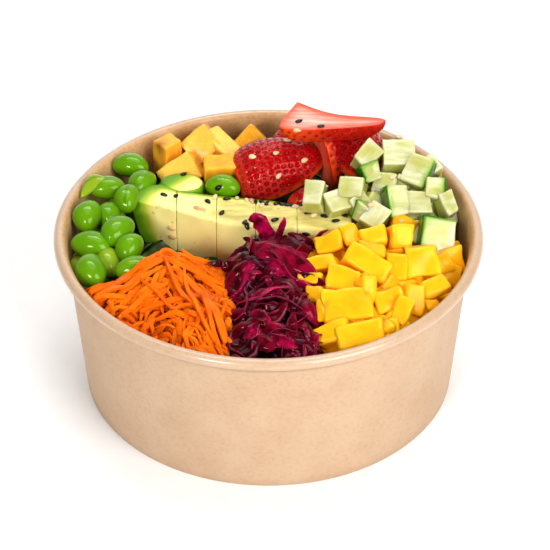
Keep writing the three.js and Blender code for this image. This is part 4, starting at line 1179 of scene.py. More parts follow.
def cabbage_heap(settings):
    """Shredded red cabbage: bowed scraps and ribbons of leaf in layers over their core, the
    topmost standing up."""
    heap = HEAPS["cabbage"]
    random = np.random.default_rng(12)
    scraps = scattered_rows(
        heap, settings.cabbage_shreds, seed=14, turn_of=lambda x, y: (23 * x + 31 * y) % 180,
        spread_turn=60, lengths=(9, 20), lifts=(-2.6, 1.6), bend=80, margin=1.0,
    )
    steps = 12
    # the scraps at the back lie lower, so that the named ribbons stand free of them
    scraps = [(x, y, lift - 3.2 * (y > -19), *rest) for x, y, lift, *rest in scraps]
    lines = np.concatenate(
        [
            arcs(heap, CABBAGE_SHREDS + scraps, steps, wave=0.7, seed=16),
            np.stack([hermite(row[3], steps) for row in CABBAGE_RIBBONS]),
        ]
    )
    count, named = len(lines), len(CABBAGE_RIBBONS)
    s = np.linspace(-1, 1, steps)[None]
    broad = random.uniform(0, 1, (count, 1)) < 0.6
    width, bow = (
        np.where(broad, random.uniform(*wide, (count, 1)), random.uniform(*narrow, (count, 1)))
        for wide, narrow in (((3.6, 7.5), (1.6, 3.0)), ((-1.7, 1.7), (-0.4, 0.4)))
    )
    twist = random.uniform(-0.8, 0.8, (count, 1)) * s + random.uniform(-0.9, 0.6, (count, 1))
    tone = random.uniform(0, 1, count) ** 1.3
    facing = np.tile([0.0, -0.6, 0.9], (count, 1)) + random.normal(0, 0.35, (count, 3))
    width[-named:, 0] = [row[0] for row in CABBAGE_RIBBONS]
    tone[-named:] = [row[1] for row in CABBAGE_RIBBONS]
    facing[-named:] = [row[2] for row in CABBAGE_RIBBONS]
    bow[-named:] *= 0.4
    twist[-named:] *= 0.25
    ends = random.uniform(4, 16, (count, 1))
    ends[-named:] = 2.0
    taper = (1 - np.abs(s) ** ends) ** 0.6
    width = width * np.maximum(taper, 0.12) * random.uniform(0.86, 1.14, (count, steps))
    thick = np.full((count, steps), 0.55)
    bow = bow * np.maximum(taper, 0.2) + 0.3 * random.normal(size=(count, steps)) * broad
    ticks = (-1, -0.5, 0, 0.5, 1)
    points, quads, edge = ribbons(lines, width, thick, twist, bow, ticks, facing)
    each = len(points) // count
    lifts = np.array([row[2] for row in CABBAGE_SHREDS + scraps] + [1.0] * named)
    # painted shade: scraps more than 0.8 mm down get darker
    deep = np.repeat(np.clip((-0.8 - lifts) / 6, 0, 0.6), each)
    shreds = [shape(points, quads, tone=np.repeat(tone, each), edge=edge, deep=deep)]
    # painted shade: the core is almost black all over
    core = heap_core(heap, drop=4.2, seed=11, deep=1.0)
    material = [cabbage_shred(settings)]
    return heap_piece("shredded_cabbage", shreds, core, material, "cabbage_heap")


# ---- dice

# Lines of a block's grid, close together at its edges
DICE_TICKS = [-1, -0.95, -0.86, -0.7, -0.35, 0, 0.35, 0.7, 0.86, 0.95, 1]


def rounded_block(width, depth, height, rounding, taper, rough, skew, seed):
    """A block with rounded edges: each point of the cube is pushed out by the rounding from the
    nearest point of the smaller block inside. Then the sides draw in evenly towards the taper
    at the top, low waves make it uneven, and each corner is pulled by a drawn vector up to the
    skew, the points between them in proportion. The edge field rises to 1 along the edges."""
    grid, quads = cube_grid(DICE_TICKS)
    half = np.array([width, depth, height]) / 2
    corner = np.maximum(half - rounding, half * 0.2)
    inner = np.clip(grid * half, -corner, corner)
    out = unit_vectors(grid * half - inner)
    points = inner + out * np.minimum(rounding, half.min() * 0.8)
    share = (points[:, 2] / half[2] + 1) / 2
    scale = 1 + (taper - 1) * share
    points[:, :2] *= scale[:, None]
    wave = ripple(points, 9.0, seed) + 0.4 * ripple(points, 3.5, seed + 1)
    points = points + out * (rough * wave)[:, None]
    pulls = np.random.default_rng(seed).uniform(-skew, skew, (8, 3))
    signs = np.stack(np.meshgrid([-1, 1], [-1, 1], [-1, 1], indexing="ij"), -1).reshape(8, 3)
    weights = ((1 + grid[:, None] * signs[None]) / 2).prod(axis=2)
    points = points + weights @ pulls
    edge = smoothstep(0.55, 0.97, np.sort(np.abs(grid), axis=1)[:, 1])
    return shape(points, quads, own=points * MM + seed * 0.013, edge=edge)


def die(row, rounding, rough, skew, seed):
    """A die whose face is at x, y, z, facing up and to the front as its row says: its shape,
    and how it is turned and placed."""
    x, y, z, width, height, depth, turn, rise, spin = row[:9]
    body = rounded_block(width, height, depth, rounding, 0.94, rough, skew, seed)
    rotation = turned(turn, 0, 90 - rise) @ turned(spin)
    place = np.array([x, y, z]) + rotation @ np.array([0, 0, -depth / 2])
    return body, rotation, place


# Middle of the face that shows x, y, z, width, height, depth, turn, rise, spin, then paleness
MANGO = [
    (23, -12, 70, 11, 8, 9, 0, 42, 18, 0.3),
    (31, -8, 70, 7, 9, 8, 0, 45, 20, 0.1),
    (40, -9, 71, 11, 7, 9, 0, 60, 10, 0.9),
    (51, -10, 71, 9, 9, 9, 20, 40, -8, 0.9),
    (52, 3, 67, 11, 8, 8, 0, 50, -20, 0.0),
    (39, -18, 71, 12, 6, 9, 0, 60, -8, 0.4),
    (37, -25, 71, 19, 9, 9, 0, 48, -28, 0.6),
    (19, -25, 70, 14, 6, 9, -10, 55, 22, 0.3),
    (15, -30, 67, 10, 5, 8, -20, 50, 0, 0.2),
    (28, -33, 69, 13, 10, 9, 0, 55, -10, 0.4),
    (17, -38, 65, 7, 6, 8, -30, 45, 20, 0.2),
    (29, -46, 67, 19, 13, 9, 0, 55, 8, 0.4),
    (38, -40, 69, 6, 10, 8, 30, 40, -10, 0.7),
    (45, -42, 66, 12, 9, 9, 0, 45, 14, 0.3),
    (48, -25, 68, 9, 12, 9, -10, 45, 6, 0.3),
    (58, -23, 69, 12.5, 13, 9, 0, 42, 6, 0.7),
    (67, -17, 64, 6, 9, 8, 30, 40, 0, 0.0),
    (71, -13, 62, 8, 10, 8, 20, 40, 0, 0.0),
    (63, -33, 65, 12, 8, 8, 20, 50, 10, 0.3),
    (55, -40, 64, 9, 12, 8, 20, 45, -20, 0.2),
    (61.5, -39, 61, 6, 5, 7, 20, 45, 0, 0.1),
    (49.5, -47, 65, 7, 10, 8, -10, 45, -16, 0.3),
    (45, -54, 62, 8, 7, 8, 0, 45, 10, 0.2),
    (20, -47, 65, 6, 9, 8, -20, 45, 20, 0.2),
    (23, -57, 62, 13, 8, 8, -20, 45, 30, 0.3),
    (34, -59, 63, 17, 11, 9, 8, 52, 6, 0.4),
    (72.5, -1, 58, 5, 7, 8, 20, 45, 0, 0.0),
]

# The same without the paleness, then the side that carries skin: l, r, u, d or none
CUCUMBER = [
    (39, 30, 82, 12, 8, 8, 10, 58, 40, ""),
    (40, 23, 78, 8, 8, 8, 20, 45, 10, "lu"),
    (17, 12, 76, 8, 11, 8, -24, 58, 12, ""),
    (27, 11, 73, 10, 10, 9, 16, 60, 8, ""),
    (32, 15, 77, 10, 10, 9, -18, 64, 10, ""),
    (36, 10, 72, 8, 9, 8, 25, 45, 20, ""),
    (35, 5, 71, 7, 8, 8, -40, 30, 0, "l"),
    (41, 3, 72, 10, 9, 9, 12, 58, 45, ""),
    (51, 33, 80, 14, 12, 10, 8, 66, -6, ""),
    (63, 28, 78, 9, 9, 9, 15, 64, 20, ""),
    (58, 24, 78, 11, 13, 10, -20, 58, -8, "r"),
    (45, 22, 74, 10, 10, 10, -28, 60, 10, ""),
    (50, 9, 74, 9, 13, 9, 20, 40, -4, "l"),
    (58, 11, 72, 11, 9, 9, 14, 56, -8, ""),
    (65, 16, 75, 8, 9, 8, 20, 50, -20, "r"),
    (70, 12, 71, 6, 10, 7, 30, 50, 0, ""),
    (65, -5, 67, 14, 16, 10, 12, 40, -15, "lu"),
    (71, 20, 60, 8, 10, 9, 20, 45, 0, ""),
    (42, 13, 70, 9, 9, 9, 40, 45, 30, "l"),
    (54, 14, 66, 10, 10, 10, 10, 40, 0, ""),
]
SIDES = {"l": (0, -1), "r": (0, 1), "u": (1, 1), "d": (1, -1)}  # axis of the side, and its way


def filler_dice(heap, gap, drop, size, rounding, seed, margin):
    """Dice under those that show: on a staggered grid, the drop below the heap's top."""
    xs, ys, random = spread(heap, gap, seed, margin)
    parts = []
    for number, (x, y) in enumerate(zip(xs, ys)):
        width, depth, height = random.uniform(size[0], size[1], 3)
        body = rounded_block(width, depth, height, rounding, 1.0, 0.25, 1.0, seed + number)
        rotation = turned(*random.uniform(-40, 40, 3))
        z = heap_height(heap, x, y) - drop - random.uniform(0, 2)
        parts.append((moved(body, rotation, (x, y, z)), random.uniform(0, 1)))
    return parts


def mango_heap(settings):
    """Mango dice: those that show, others under them and the core."""
    heap = HEAPS["mango"]
    parts = []
    for number, row in enumerate(MANGO):
        body, rotation, place = die(row, rounding=1.2, rough=0.45, skew=0.9, seed=40 + number)
        parts.append(moved(with_fields(body, tone=1 - row[9]), rotation, place))
    small = filler_dice(heap, gap=7.6, drop=3.4, size=(7.5, 10), rounding=1.3, seed=90, margin=5)
    for body, tone in small:
        parts.append(with_fields(body, tone=0.5 + 0.5 * tone))
    # painted shade: the core takes the riper orange, which shows in the depths between the dice
    core = heap_core(heap, drop=6.0, seed=13, tone=1.0)
    return heap_piece("mango_dice", parts, core, [mango_flesh(settings)], "mango_heap")


def skin_depth(points, half, sides, deepest=8.0):
    """Distance from the skinned sides of a die, as a share of the deepest, at most 1."""
    depth = np.full(len(points), deepest)
    for side in sides:
        axis, way = SIDES[side]
        depth = np.minimum(depth, half[axis] - way * points[:, axis])
    return np.clip(depth / deepest, 0, 1)


def cucumber_heap(settings):
    """Cucumber dice: those that show, some with skin on a side, others under them and the core."""
    heap = HEAPS["cucumber"]
    parts = []
    for number, row in enumerate(CUCUMBER):
        body, rotation, place = die(row, rounding=0.7, rough=0.25, skew=0.7, seed=140 + number)
        half = np.array([row[3], row[4]]) / 2 * 0.97
        body["fields"]["depth"] = skin_depth(body["points"], half, row[9])
        # painted light: the face that looks up is marked to be paler
        body["fields"]["face"] = smoothstep(0.7, 0.96, body["points"][:, 2] / (row[5] / 2))
        parts.append(moved(body, rotation, place))
    small = filler_dice(heap, gap=9, drop=4.5, size=(8, 10), rounding=0.9, seed=190, margin=4)
    for body, tone in small:
        # painted light on the dice below, a random share of it
        parts.append(with_fields(body, depth=0.35 + 0.4 * tone, face=0.4 * tone))
    core = heap_core(heap, drop=6.0, seed=15, depth=0.3)
    material = [cucumber_flesh(settings)]
    return heap_piece("cucumber_dice", parts, core, material, "cucumber_heap")


# ---- avocado

# x, y of the upper front edge, y of the upper rear edge, height of each section
AVOCADO_SECTIONS = [
    (-53.6, 20.4, 21, 2),
    (-53, 20.2, 23.5, 6),
    (-51, 19.4, 27.5, 15),
    (-47.5, 18.4, 31, 21),
    (-42, 16.4, 31.5, 24),
    (-36, 14, 27.5, 24),
    (-27, 9.6, 25, 24),
    (-18, 5.2, 23.6, 24),
    (-6, 3.4, 21.6, 24),
    (10, 2.6, 18.4, 24),
    (24, 2.2, 14.6, 23),
    (32, 2, 10.6, 20),
]
AVOCADO_TOP = 66.0  # height of the cut that looks up
AVOCADO_CUTS = [-36, -20.3, -5, 11]  # x of the cuts between the slices
AVOCADO_CUT = 0.2  # width of each
AVOCADO_END = (-34.5, 33, 66.5, 9.5, 7, 17)  # x, y, top, half length, half width, height
PALE_DEPTH = 11  # distance from the rind at which the flesh is at its palest


def avocado_section(x, count=11):
    """One section of the quarter at x, from the front edge over the top, down the rind side and
    up the front: the rind side is y = front + depth cos^0.7 a, z = top - height sin a."""
    rows = np.array(AVOCADO_SECTIONS)
    front, rear, height = (np.interp(x, rows[:, 0], rows[:, k]) for k in (1, 2, 3))
    depth = rear - front
    t = np.array([0.015, 0.06, *np.linspace(0.15, 0.95, 9)])
    top = np.stack([front + depth * t, np.full(len(t), AVOCADO_TOP)], -1)
    a = np.radians(np.linspace(4, 90, count))
    bulge = np.maximum(np.cos(a), 0) ** 0.7
    rind = np.stack([front + depth * bulge, AVOCADO_TOP - height * np.sin(a)], -1)
    rind[0] = (front + depth, AVOCADO_TOP - 0.3)
    t = np.array([0.985, *np.linspace(0.94, 0.06, 13), 0.015])
    face = np.stack([np.full(len(t), front), AVOCADO_TOP - height * t], -1)
    loop = np.concatenate([top, rind, face])
    return np.column_stack([np.full(len(loop), x), loop]), len(top), len(top) + count


def avocado_slice(start, end):
    """A slice of the quarter between two crosswise cuts: sections in a row, each end closed by
    the same section drawn in to its middle, its edge held by a close row."""
    xs = np.concatenate([[start + 0.12], np.linspace(start + 0.35, end - 0.35, 30), [end - 0.12]])
    rows = [avocado_section(x)[0] for x in xs]
    ends = []
    for k, x in ((0, start), (-1, end)):
        rows[k] = rows[k].mean(0) + (rows[k] - rows[k].mean(0)) * [1, 0.99, 0.99]
        ring = rows[k].copy()
        ring[:, 0] = x
        middle = ring.mean(0)
        ends.append([middle + (ring - middle) * s for s in (0.0, 0.35, 0.7, 0.97)])
    rows = ends[0] + rows + ends[1][::-1]
    return closed_rows(rows[::-1])


def rind_distance(points):
    """Distance from the rind side of the quarter: to the nearest of a net of its points, which
    counts three times as much away from the left end, where the cut runs along the rind."""
    left, right = AVOCADO_SECTIONS[0][0], AVOCADO_SECTIONS[-1][0]
    cloud = [avocado_section(left)[0]]
    for x in np.linspace(left, right, 90):
        section, low, high = avocado_section(x, 24)
        cloud.append(section[low:high])
    near = distance_to(points, np.concatenate(cloud))
    return near * (1 + 2.2 * smoothstep(-45, -37, points[:, 0]))


def avocado_end(material):
    """The end slice: the ball's outline and height drawn out to a low drum with a round rind,
    bright green on one side and pale on the other."""
    x, y, top, wide, deep, height = AVOCADO_END
    unit, quads = ball(20)
    lift = np.sign(unit[:, 2]) * np.abs(unit[:, 2]) ** 0.35
    spread_out = np.minimum(1, np.hypot(unit[:, 0], unit[:, 1]) ** 0.45)
    rim = unit_vectors(unit[:, :2]) * spread_out[:, None] * (1 - 0.12 * (1 - lift)[:, None])
    points = np.column_stack([rim[:, 0] * wide, rim[:, 1] * deep, lift * height / 2])
    depth = 0.12 + 0.75 * smoothstep(-0.75, 0.75, rim[:, 0] - 0.7 * rim[:, 1])
    depth = np.where(lift > 0.9, depth, 0.3 * depth)
    body = shape(points, quads, depth=np.clip(depth, 0.08, 1))
    body = moved(body, turned(0, -3), (x, y, top - height / 2))
    return make_piece("avocado_end_slice", body, [material], ["avocado_end"])


def avocado(settings):
    """The sliced quarter and the end slice behind it."""
    material = avocado_flesh(settings)
    gap = millimetres(settings.avocado_cut) / 2
    starts = [AVOCADO_SECTIONS[0][0], *(cut + gap for cut in AVOCADO_CUTS)]
    ends = [*(cut - gap for cut in AVOCADO_CUTS), AVOCADO_SECTIONS[-1][0]]
    pieces = []
    for number, (start, end) in enumerate(zip(starts, ends)):
        points, quads, fans = avocado_slice(start, end)
        depth = np.clip(rind_distance(points) / PALE_DEPTH, 0, 1)
        # painted shade: the cut that looks up, right of the first slices, is marked to be darkened
        upper = (points[:, 2] > AVOCADO_TOP - 0.05) * smoothstep(-30, -16, points[:, 0])
        points = points + 0.12 * ripple(points, 8.0, number)[:, None] * [0, 1, 1]
        body = shape(points, quads, fans, depth=depth, upper=upper)
        name, node = f"avocado_slice_{number + 1}", f"avocado_{number + 1}"
        pieces.append(make_piece(name, body, [material], [node]))
    return [*pieces, avocado_end(material)]


# ---- pineapple

# Middle x, y, z, width, depth, height, turn, tip, roll, taper, paleness
PINEAPPLE = [
    (-40.5, 53, 64, 8.6, 8, 16, 42, 0, 0, 0.96, 0.2),
    (-26.5, 60, 64.8, 13, 12.5, 13, 20, 35, 45, 0.98, 0.3),
    (-18.5, 56, 65, 20, 9, 9, -48, -15, 0, 0.95, 0.6),
    (-34.5, 46, 60, 16, 13, 13, 14, 32, 44, 0.98, 0.4),
    (-19, 41, 64, 14, 9, 14, 6, 0, 8, 0.97, 0.1),
    (-7.2, 60.5, 64, 13, 12.5, 13, 30, 35, 45, 0.98, 0.1),
    (-8, 50, 61, 8, 7, 9, 20, 0, 0, 0.95, 0.4),
]
EYE = (-43.4, 50.8, 70.8, 2.5)  # the brown eye on the first chunk: x, y, z, half width


def pineapple(settings):
    """The pineapple chunks: tapered blocks with worn edges and a fibrous surface."""
    material = pineapple_flesh(settings)
    pieces = []
    for number, row in enumerate(PINEAPPLE):
        x, y, z, width, depth, height, turn, tip, roll, taper, pale = row
        body = rounded_block(width, depth, height, 0.7, taper, 0.3, 0.4, 240 + number)
        # painted light: each chunk paler towards its own top, by its paleness
        top = (body["points"][:, 2] / height + 0.5) ** 3
        body["fields"]["tone"] = np.clip(pale * (0.3 + top), 0, 1)
        body = moved(body, turned(turn, tip, roll), (x, y, z))
        away = np.linalg.norm(body["points"] - np.array(EYE[:3]), axis=1)
        body["fields"]["eye"] = np.clip(np.exp(-((away / EYE[3]) ** 2)), 0, 1) * (number == 0)
        name, node = f"pineapple_chunk_{number + 1}", f"pineapple_{number + 1}"
        pieces.append(make_piece(name, body, [material], [node]))
    return pieces


# ---- strawberries

# Middle of the flat side x, y, z, length, width, thickness, turn, tip, roll
STRAWBERRIES = [
    (5, 44, 64.5, 37, 28, 16, 12, 12, 16),
    (20.8, 44.6, 68.8, 26, 26, 14, -61, -49, -81),
    (38, 43, 68, 30, 25, 14, 300, 0, 0),
    (8, 61, 66, 18, 14, 11, 80, 0, 0),
    (14, 23, 64, 14, 11, 7, 200, 0, 0),
]
HULLED = 0.1  # share of a berry's length that the flat cut at its stem end takes off
# The slice on top: its upper side's height, its thickness, its outline and middle in plan
SLICE_TOP = 88.0
SLICE_THICKNESS = 7.0
SLICE_OUTLINE = [(11, 57), (5, 44), (4.5, 38.4), (12, 36.8), (24, 37.4), (36, 39), (44.6, 41)]
SLICE_OUTLINE += [(45, 45), (29, 47.5), (20, 51)]
SLICE_MIDDLE = (24, 44)


def berry_radius(along, width):
    """Radius of a berry: w/2 sqrt(4 t (1-t)) (1.2 - 0.5 t), with t from the hull cut to 1."""
    t = HULLED + (1 - HULLED) * along
    return width / 2 * np.sqrt(np.maximum(4 * t * (1 - t), 0)) * (1.2 - 0.5 * t)


def berry_seeds(length, width, gap=2.7):
    """Where a berry carries its seeds: rings along it, about the gap apart, with the seeds of
    each ring about the gap apart and set between those of the next. Points and outward ways."""
    places, ways = [], []
    rings = int(length / gap)
    for ring in range(rings):
        along = (ring + 0.7) / rings
        radius = float(berry_radius(along, width))
        count = max(3, int(2 * math.pi * radius / gap))
        step = 0.01
        rise = float(berry_radius(along + step, width) - berry_radius(along - step, width))
        slope = rise / (2 * step * length)
        for k in range(count):
            angle = 2 * math.pi * (k + 0.5 * (ring % 2)) / count
            way = np.array([-slope, math.cos(angle), math.sin(angle)])
            places.append([(along - 0.5) * length, radius * way[1], radius * way[2]])
            ways.append(way / np.linalg.norm(way))
    return np.array(places), np.array(ways)


def dimpled(points, normals, seeds, depth=0.5, reach=0.95):
    """Points pressed in round each seed by a bell of that depth and reach, and the bell."""
    bell = np.exp(-((distance_to(points, seeds) / reach) ** 2))
    return points - normals * (depth * bell)[:, None], bell


def achenes(places, ways, seed):
    """Berry seeds: drops 1 mm long set in their dimples, each along its own way."""
    random = np.random.default_rng(seed)
    unit, quads = ball(3)
    parts = []
    for place, way in zip(places, ways):
        drop = unit * [0.52, 0.34, 0.28]
        drop[:, 1] *= 1 - 0.3 * unit[:, 0]
        side = np.cross(way, [0.3, 0.9, 0.1])
        side /= np.linalg.norm(side)
        basis = np.column_stack([np.cross(side, way), side, way])
        tone = np.full(len(drop), random.uniform(0, 1) ** 1.6)
        parts.append(shape(drop @ basis.T + place - way * 0.25, quads, paint=2, tone=tone))
    return parts


def half_berry(length, width, thickness, detail):
    """A berry halved along its length, lying on its flat side. The ball's x goes along the
    berry and its distance from x to the berry's radius; what is below the middle is pressed
    flat, and what is over the thickness is cut off."""
    unit, quads = ball(detail)
    x, y, z = unit.T
    flat_end = -0.82
    along = np.clip((x - flat_end) / (1 - flat_end), 0, 1)
    along = np.sin(along * math.pi / 2)
    girth = np.hypot(y, z)
    rim = math.sqrt(1 - flat_end**2)
    blunt = berry_radius(0.0, width) * girth / rim
    radius = np.where(x < flat_end, blunt, berry_radius(along, width))
    around = np.stack([y, z], -1) / np.maximum(girth, 1e-9)[:, None]
    points = np.column_stack([(along - 0.5) * length, radius * around[:, 0], radius * around[:, 1]])
    normals = unit_vectors(points * [0, 1, 1])
    places, ways = berry_seeds(length, width)
    # only the seeds on the skin between the two flat sides
    upper = (places[:, 2] > 0.8) & (places[:, 2] < thickness - 0.3)
    places, ways = places[upper], ways[upper]
    skin = (z > 0.02) & (x > flat_end)
    points_in, bell = dimpled(points, normals, places)
    points = np.where(skin[:, None], points_in, points)
    full = berry_radius(along, width)
    depth = 0.26 * np.clip((full - np.abs(points[:, 1])) / (0.55 * width / 2), 0, 1)
    points[:, 2] = np.clip(points[:, 2], 0, thickness)
    # the skin is paler at the hull's end and along the cut
    tone = 0.6 * np.exp(-((points[:, 0] + length / 2) / 3.0) ** 2)
    tone = np.maximum(tone, 0.75 * np.exp(-((points[:, 2] / 2.6) ** 4)))
    middle = points[quads].mean(axis=1)
    cut = (middle[:, 2] < 0.01) | (middle[:, 0] < -length / 2 + 0.01)
    cut |= middle[:, 2] > thickness - 0.01
    fields = {"dimple": bell * skin, "tone": np.clip(tone, 0, 1), "depth": depth}
    body = shape(points, quads, paint=cut.astype(int), **fields, own=points * MM)
    return body, places, ways


def slice_swell(t):
    """How far out the slice's skin stands, as a share of the outline, at height t from 0 to 1."""
    return 0.78 + 0.2 * math.sin(t * math.pi / 2) + 0.025 * math.sin(t * math.pi)


def slice_seeds(ring, middle, bottom):
    """Where the slice carries its seeds: three rings in its skin, with a seed at each fourth
    point of its outline. Points and outward ways."""
    random = np.random.default_rng(5)
    places, ways = [], []
    for k, height in enumerate((1.6, 3.6, 5.4)):
        for j in range(2 * k % 4, len(ring), 4):
            flat = middle + (ring[j] - middle) * slice_swell(height / SLICE_THICKNESS)
            out = ring[j] - middle
            out = out / np.linalg.norm(out)
            places.append([*flat, bottom + height + random.uniform(-0.3, 0.3)])
            ways.append([*(out * 0.95), -0.3])
    return np.array(places), np.array(ways)


def berry_slice():
    """The slice on top: its outline smoothed by Catmull-Rom, a slightly domed flat side looking
    up, and a skin that bulges out and draws in to 0.8 of the outline at the bottom."""
    ring = hermite(SLICE_OUTLINE + [SLICE_OUTLINE[0]], 97)[:-1]
    around = len(ring)
    middle = np.array(SLICE_MIDDLE, float)
    bottom = SLICE_TOP - SLICE_THICKNESS
    sizes = [(share, bottom) for share in (0.0, 0.25, 0.5, 0.68)]
    for t in np.linspace(0, 1, 12):
        sizes.append((slice_swell(t), bottom + SLICE_THICKNESS * (0.02 + 0.95 * t)))
    skin_rows = len(sizes)
    for share in (0.965, 0.93, 0.85, 0.7, 0.5, 0.3, 0.12, 0.0):
        sizes.append((share, SLICE_TOP - 0.5 * (1 - share) ** 0.5))
    rows = [
        np.column_stack([middle + (ring - middle) * share, np.full(around, level)])
        for share, level in sizes
    ]
    points, quads, fans = closed_rows(rows)
    row = np.repeat(np.arange(len(rows) - 3), around)
    paint = (row >= skin_rows - 1).astype(int)
    paint = np.concatenate([paint, np.repeat([0, 1], around)])
    places, ways = slice_seeds(ring, middle, bottom)
    normals = unit_vectors(np.column_stack([points[:, :2] - middle, np.zeros(len(points))]))
    pressed, bell = dimpled(points, normals, places, depth=0.35, reach=0.9)
    side = (points[:, 2] < SLICE_TOP - 0.6) & (points[:, 2] > bottom + 0.3)
    points = np.where(side[:, None], pressed, points)
    fields = {
        "dimple": bell * side,
        "depth": np.clip(distance_to(points[:, :2], ring) / 6.5, 0, 1),
        "tone": np.clip((27 - points[:, 0]) / 18, 0.12, 0.95),
        "own": (points - [24, 43, SLICE_TOP]) * MM,
    }
    body = shape(points, quads, fans, paint=paint, **fields)
    return joined([body, *achenes(places, ways, 7)])


def strawberries(settings):
    """The strawberry halves and the slice on top of them, each with its own seeds."""
    materials = [
        strawberry_skin(settings),
        strawberry_flesh(),
        seed_coat("strawberry_seed", "#5a0606", "#b0461c", 0.35),
    ]
    pieces = []
    for number, row in enumerate(STRAWBERRIES):
        x, y, z, length, width, thickness, turn, tip, roll = row
        detail = 56 if width > 20 else 28
        body, places, ways = half_berry(length, width, thickness, detail)
        body = joined([body, *achenes(places, ways, number)])
        body = moved(body, turned(turn, tip, roll), (x, y, z))
        name, node = f"strawberry_half_{number + 1}", f"strawberry_{number + 1}"
        pieces.append(make_piece(name, body, materials, [node]))
    name, node = "strawberry_top_slice", "strawberry_slice"
    pieces.append(make_piece(name, berry_slice(), materials, [node]))
    return pieces


# ---- sesame

# x, y, z near the surface and the turn of each seed
BLACK_SESAME = [
    (-41.0, 23.8, 66, -30), (-36.3, 23.2, 66, 61), (-33.6, 37.4, 66.5, 49), (-23.7, 19.2, 66, -57),
    (-16.3, 21, 66, 4), (-18.1, 11.9, 66, 64), (-5, 19.2, 66, 31), (-0.6, 18, 66, 70),
    (5.7, 17.4, 66, 8), (9.5, 16.4, 66, -14), (-9.1, 5.6, 66, 65), (-8.3, 3.7, 65.8, -87),
    (2.5, 7.1, 66, 30), (14.4, 2.5, 62.9, -24), (15.3, 12, 66, 21), (21.5, 9.5, 66, -31),
    (29.6, 9.9, 66, -41), (-20.3, -20.4, 66.3, 48), (-19.5, 26.2, 68, 50), (11.9, 43, 88, 31),
    (20.5, 39.5, 88, 11), (-2.6, 18.9, 66, -50), (3.2, 17.8, 66, 35), (7.6, 17, 66, -5),
    (12.2, 16.4, 66, 20), (26, 6.6, 66, 10),
]
WHITE_SESAME = [
    (-21.0, 22.4, 66, 73), (-27.8, 14.7, 66, -52), (-25.5, 13.9, 66, -31), (-3.7, 11.1, 66, 72),
    (-0.2, -22.5, 69, -52), (6.3, 2.8, 61.2, 43), (-37.5, 14.6, 52.4, 9), (-37.8, 14.7, 56.7, -87),
    (-12.4, 21.8, 66, 81), (-6.6, 19.4, 66, -74), (0.9, 17.2, 66, -50), (-2.6, 17, 66, 61),
    (-8.6, 20, 66, -80), (13.3, 14.8, 66, -13), (21.1, 13.1, 66, -83), (-5.8, 37.8, 74, -22),
    (2.9, 38.1, 76, 31), (4.1, 31.1, 70, 62), (7.2, 46, 76, 9), (15.1, 37.4, 73, 19),
    (22.4, 26.1, 76, 11), (11.1, 36, 88, 57), (48.4, 22.5, 76, 23), (51.5, 22.6, 75.5, -56),
    (39.4, 5.5, 75, 3), (10.4, 16.0, 66, -20), (17.6, 10.4, 66, 40),
]
RIM_SEED = (52.5, 61.0, 68.0, 30)


def sesame_seed():
    """A sesame seed: the ball to x 1.65, y 0.95 (1 - 0.3x) and z 0.55, so one end is pointed."""
    unit, quads = ball(4)
    seed = unit * [1.65, 0.95, 0.55]
    seed[:, 1] *= 1 - 0.3 * unit[:, 0]
    return seed, quads


def sesame(grounds):
    """The seeds, each laid on the nearest surface of what is under it, flat on that surface."""
    trees = [BVHTree.FromObject(piece, bpy.context.evaluated_depsgraph_get()) for piece in grounds]
    unit, quads = sesame_seed()
    made = []
    for name, rows, dark, pale, rough in (
        ("black_sesame", BLACK_SESAME, "#070605", "#171310", 0.3),
        ("white_sesame", [*WHITE_SESAME, RIM_SEED], "#c9a06a", "#f0dcae", 0.45),
    ):
        random = np.random.default_rng(len(rows))
        parts = []
        for x, y, z, turn in rows:
            hits = [tree.find_nearest(Vector((x, y, z)) * MM) for tree in trees]
            spot, normal, _, _ = min(hits, key=lambda hit: hit[3])
            up = np.array(normal)
            start = turned(turn) @ np.array([1.0, 0, 0])
            side = np.cross(up, start)
            side /= np.linalg.norm(side)
            basis = np.column_stack([np.cross(side, up), side, up])
            grown = unit * random.uniform(0.88, 1.08)
            place = np.array(spot) / MM + up * 0.3
            tone = np.full(len(unit), random.uniform(0, 1))
            parts.append(shape(grown @ basis.T + place, quads, tone=tone))
        material = seed_coat(f"{name}_coat", dark, pale, rough)
        made.append(make_piece(name, joined(parts), [material]))
    return made


# ---- stage

BOWL_CENTRE = (0, 0, 0.05)  # where the lights on the bowl look, in metres
CAMERA_TARGET = (0.00248, 0.0, 0.04479)  # where the camera looks


def aimed(name, data, place, target):
    """A light or camera at its place, looking at its target, both in metres."""
    thing = bpy.data.objects.new(name, data)
    thing.location = place
    thing.rotation_euler = (Vector(target) - thing.location).to_track_quat("-Z", "Y").to_euler()
    bpy.context.scene.collection.objects.link(thing)
    return thing


def floor_sweep(settings):
    """A pale floor that sweeps up behind the bowl by quarter waves."""
    size, rise = 3.0, 2.2
    steps = np.linspace(0, 1, 25)
    y = np.concatenate([[-size], 1.2 + 0.8 * np.sin(steps * math.pi / 2), [2.0]])
    z = np.concatenate([[0.0], 0.8 * (1 - np.cos(steps * math.pi / 2)), [rise]])
    left = np.column_stack([np.full(len(y), -size), y, z])
    right = np.column_stack([np.full(len(y), size), y, z])
    index = np.arange(len(y))
    quads = np.stack([index[:-1], index[:-1] + len(y), index[1:] + len(y), index[1:]], -1)
    mesh = bpy.data.meshes.new("floor")
    mesh.from_pydata(np.concatenate([left, right]).tolist(), [], quads.tolist())
    mesh.polygons.foreach_set("use_smooth", np.ones(len(quads), bool))
    mesh.materials.append(stage_paper(settings))
    floor = bpy.data.objects.new("floor", mesh)
    bpy.context.scene.collection.objects.link(floor)


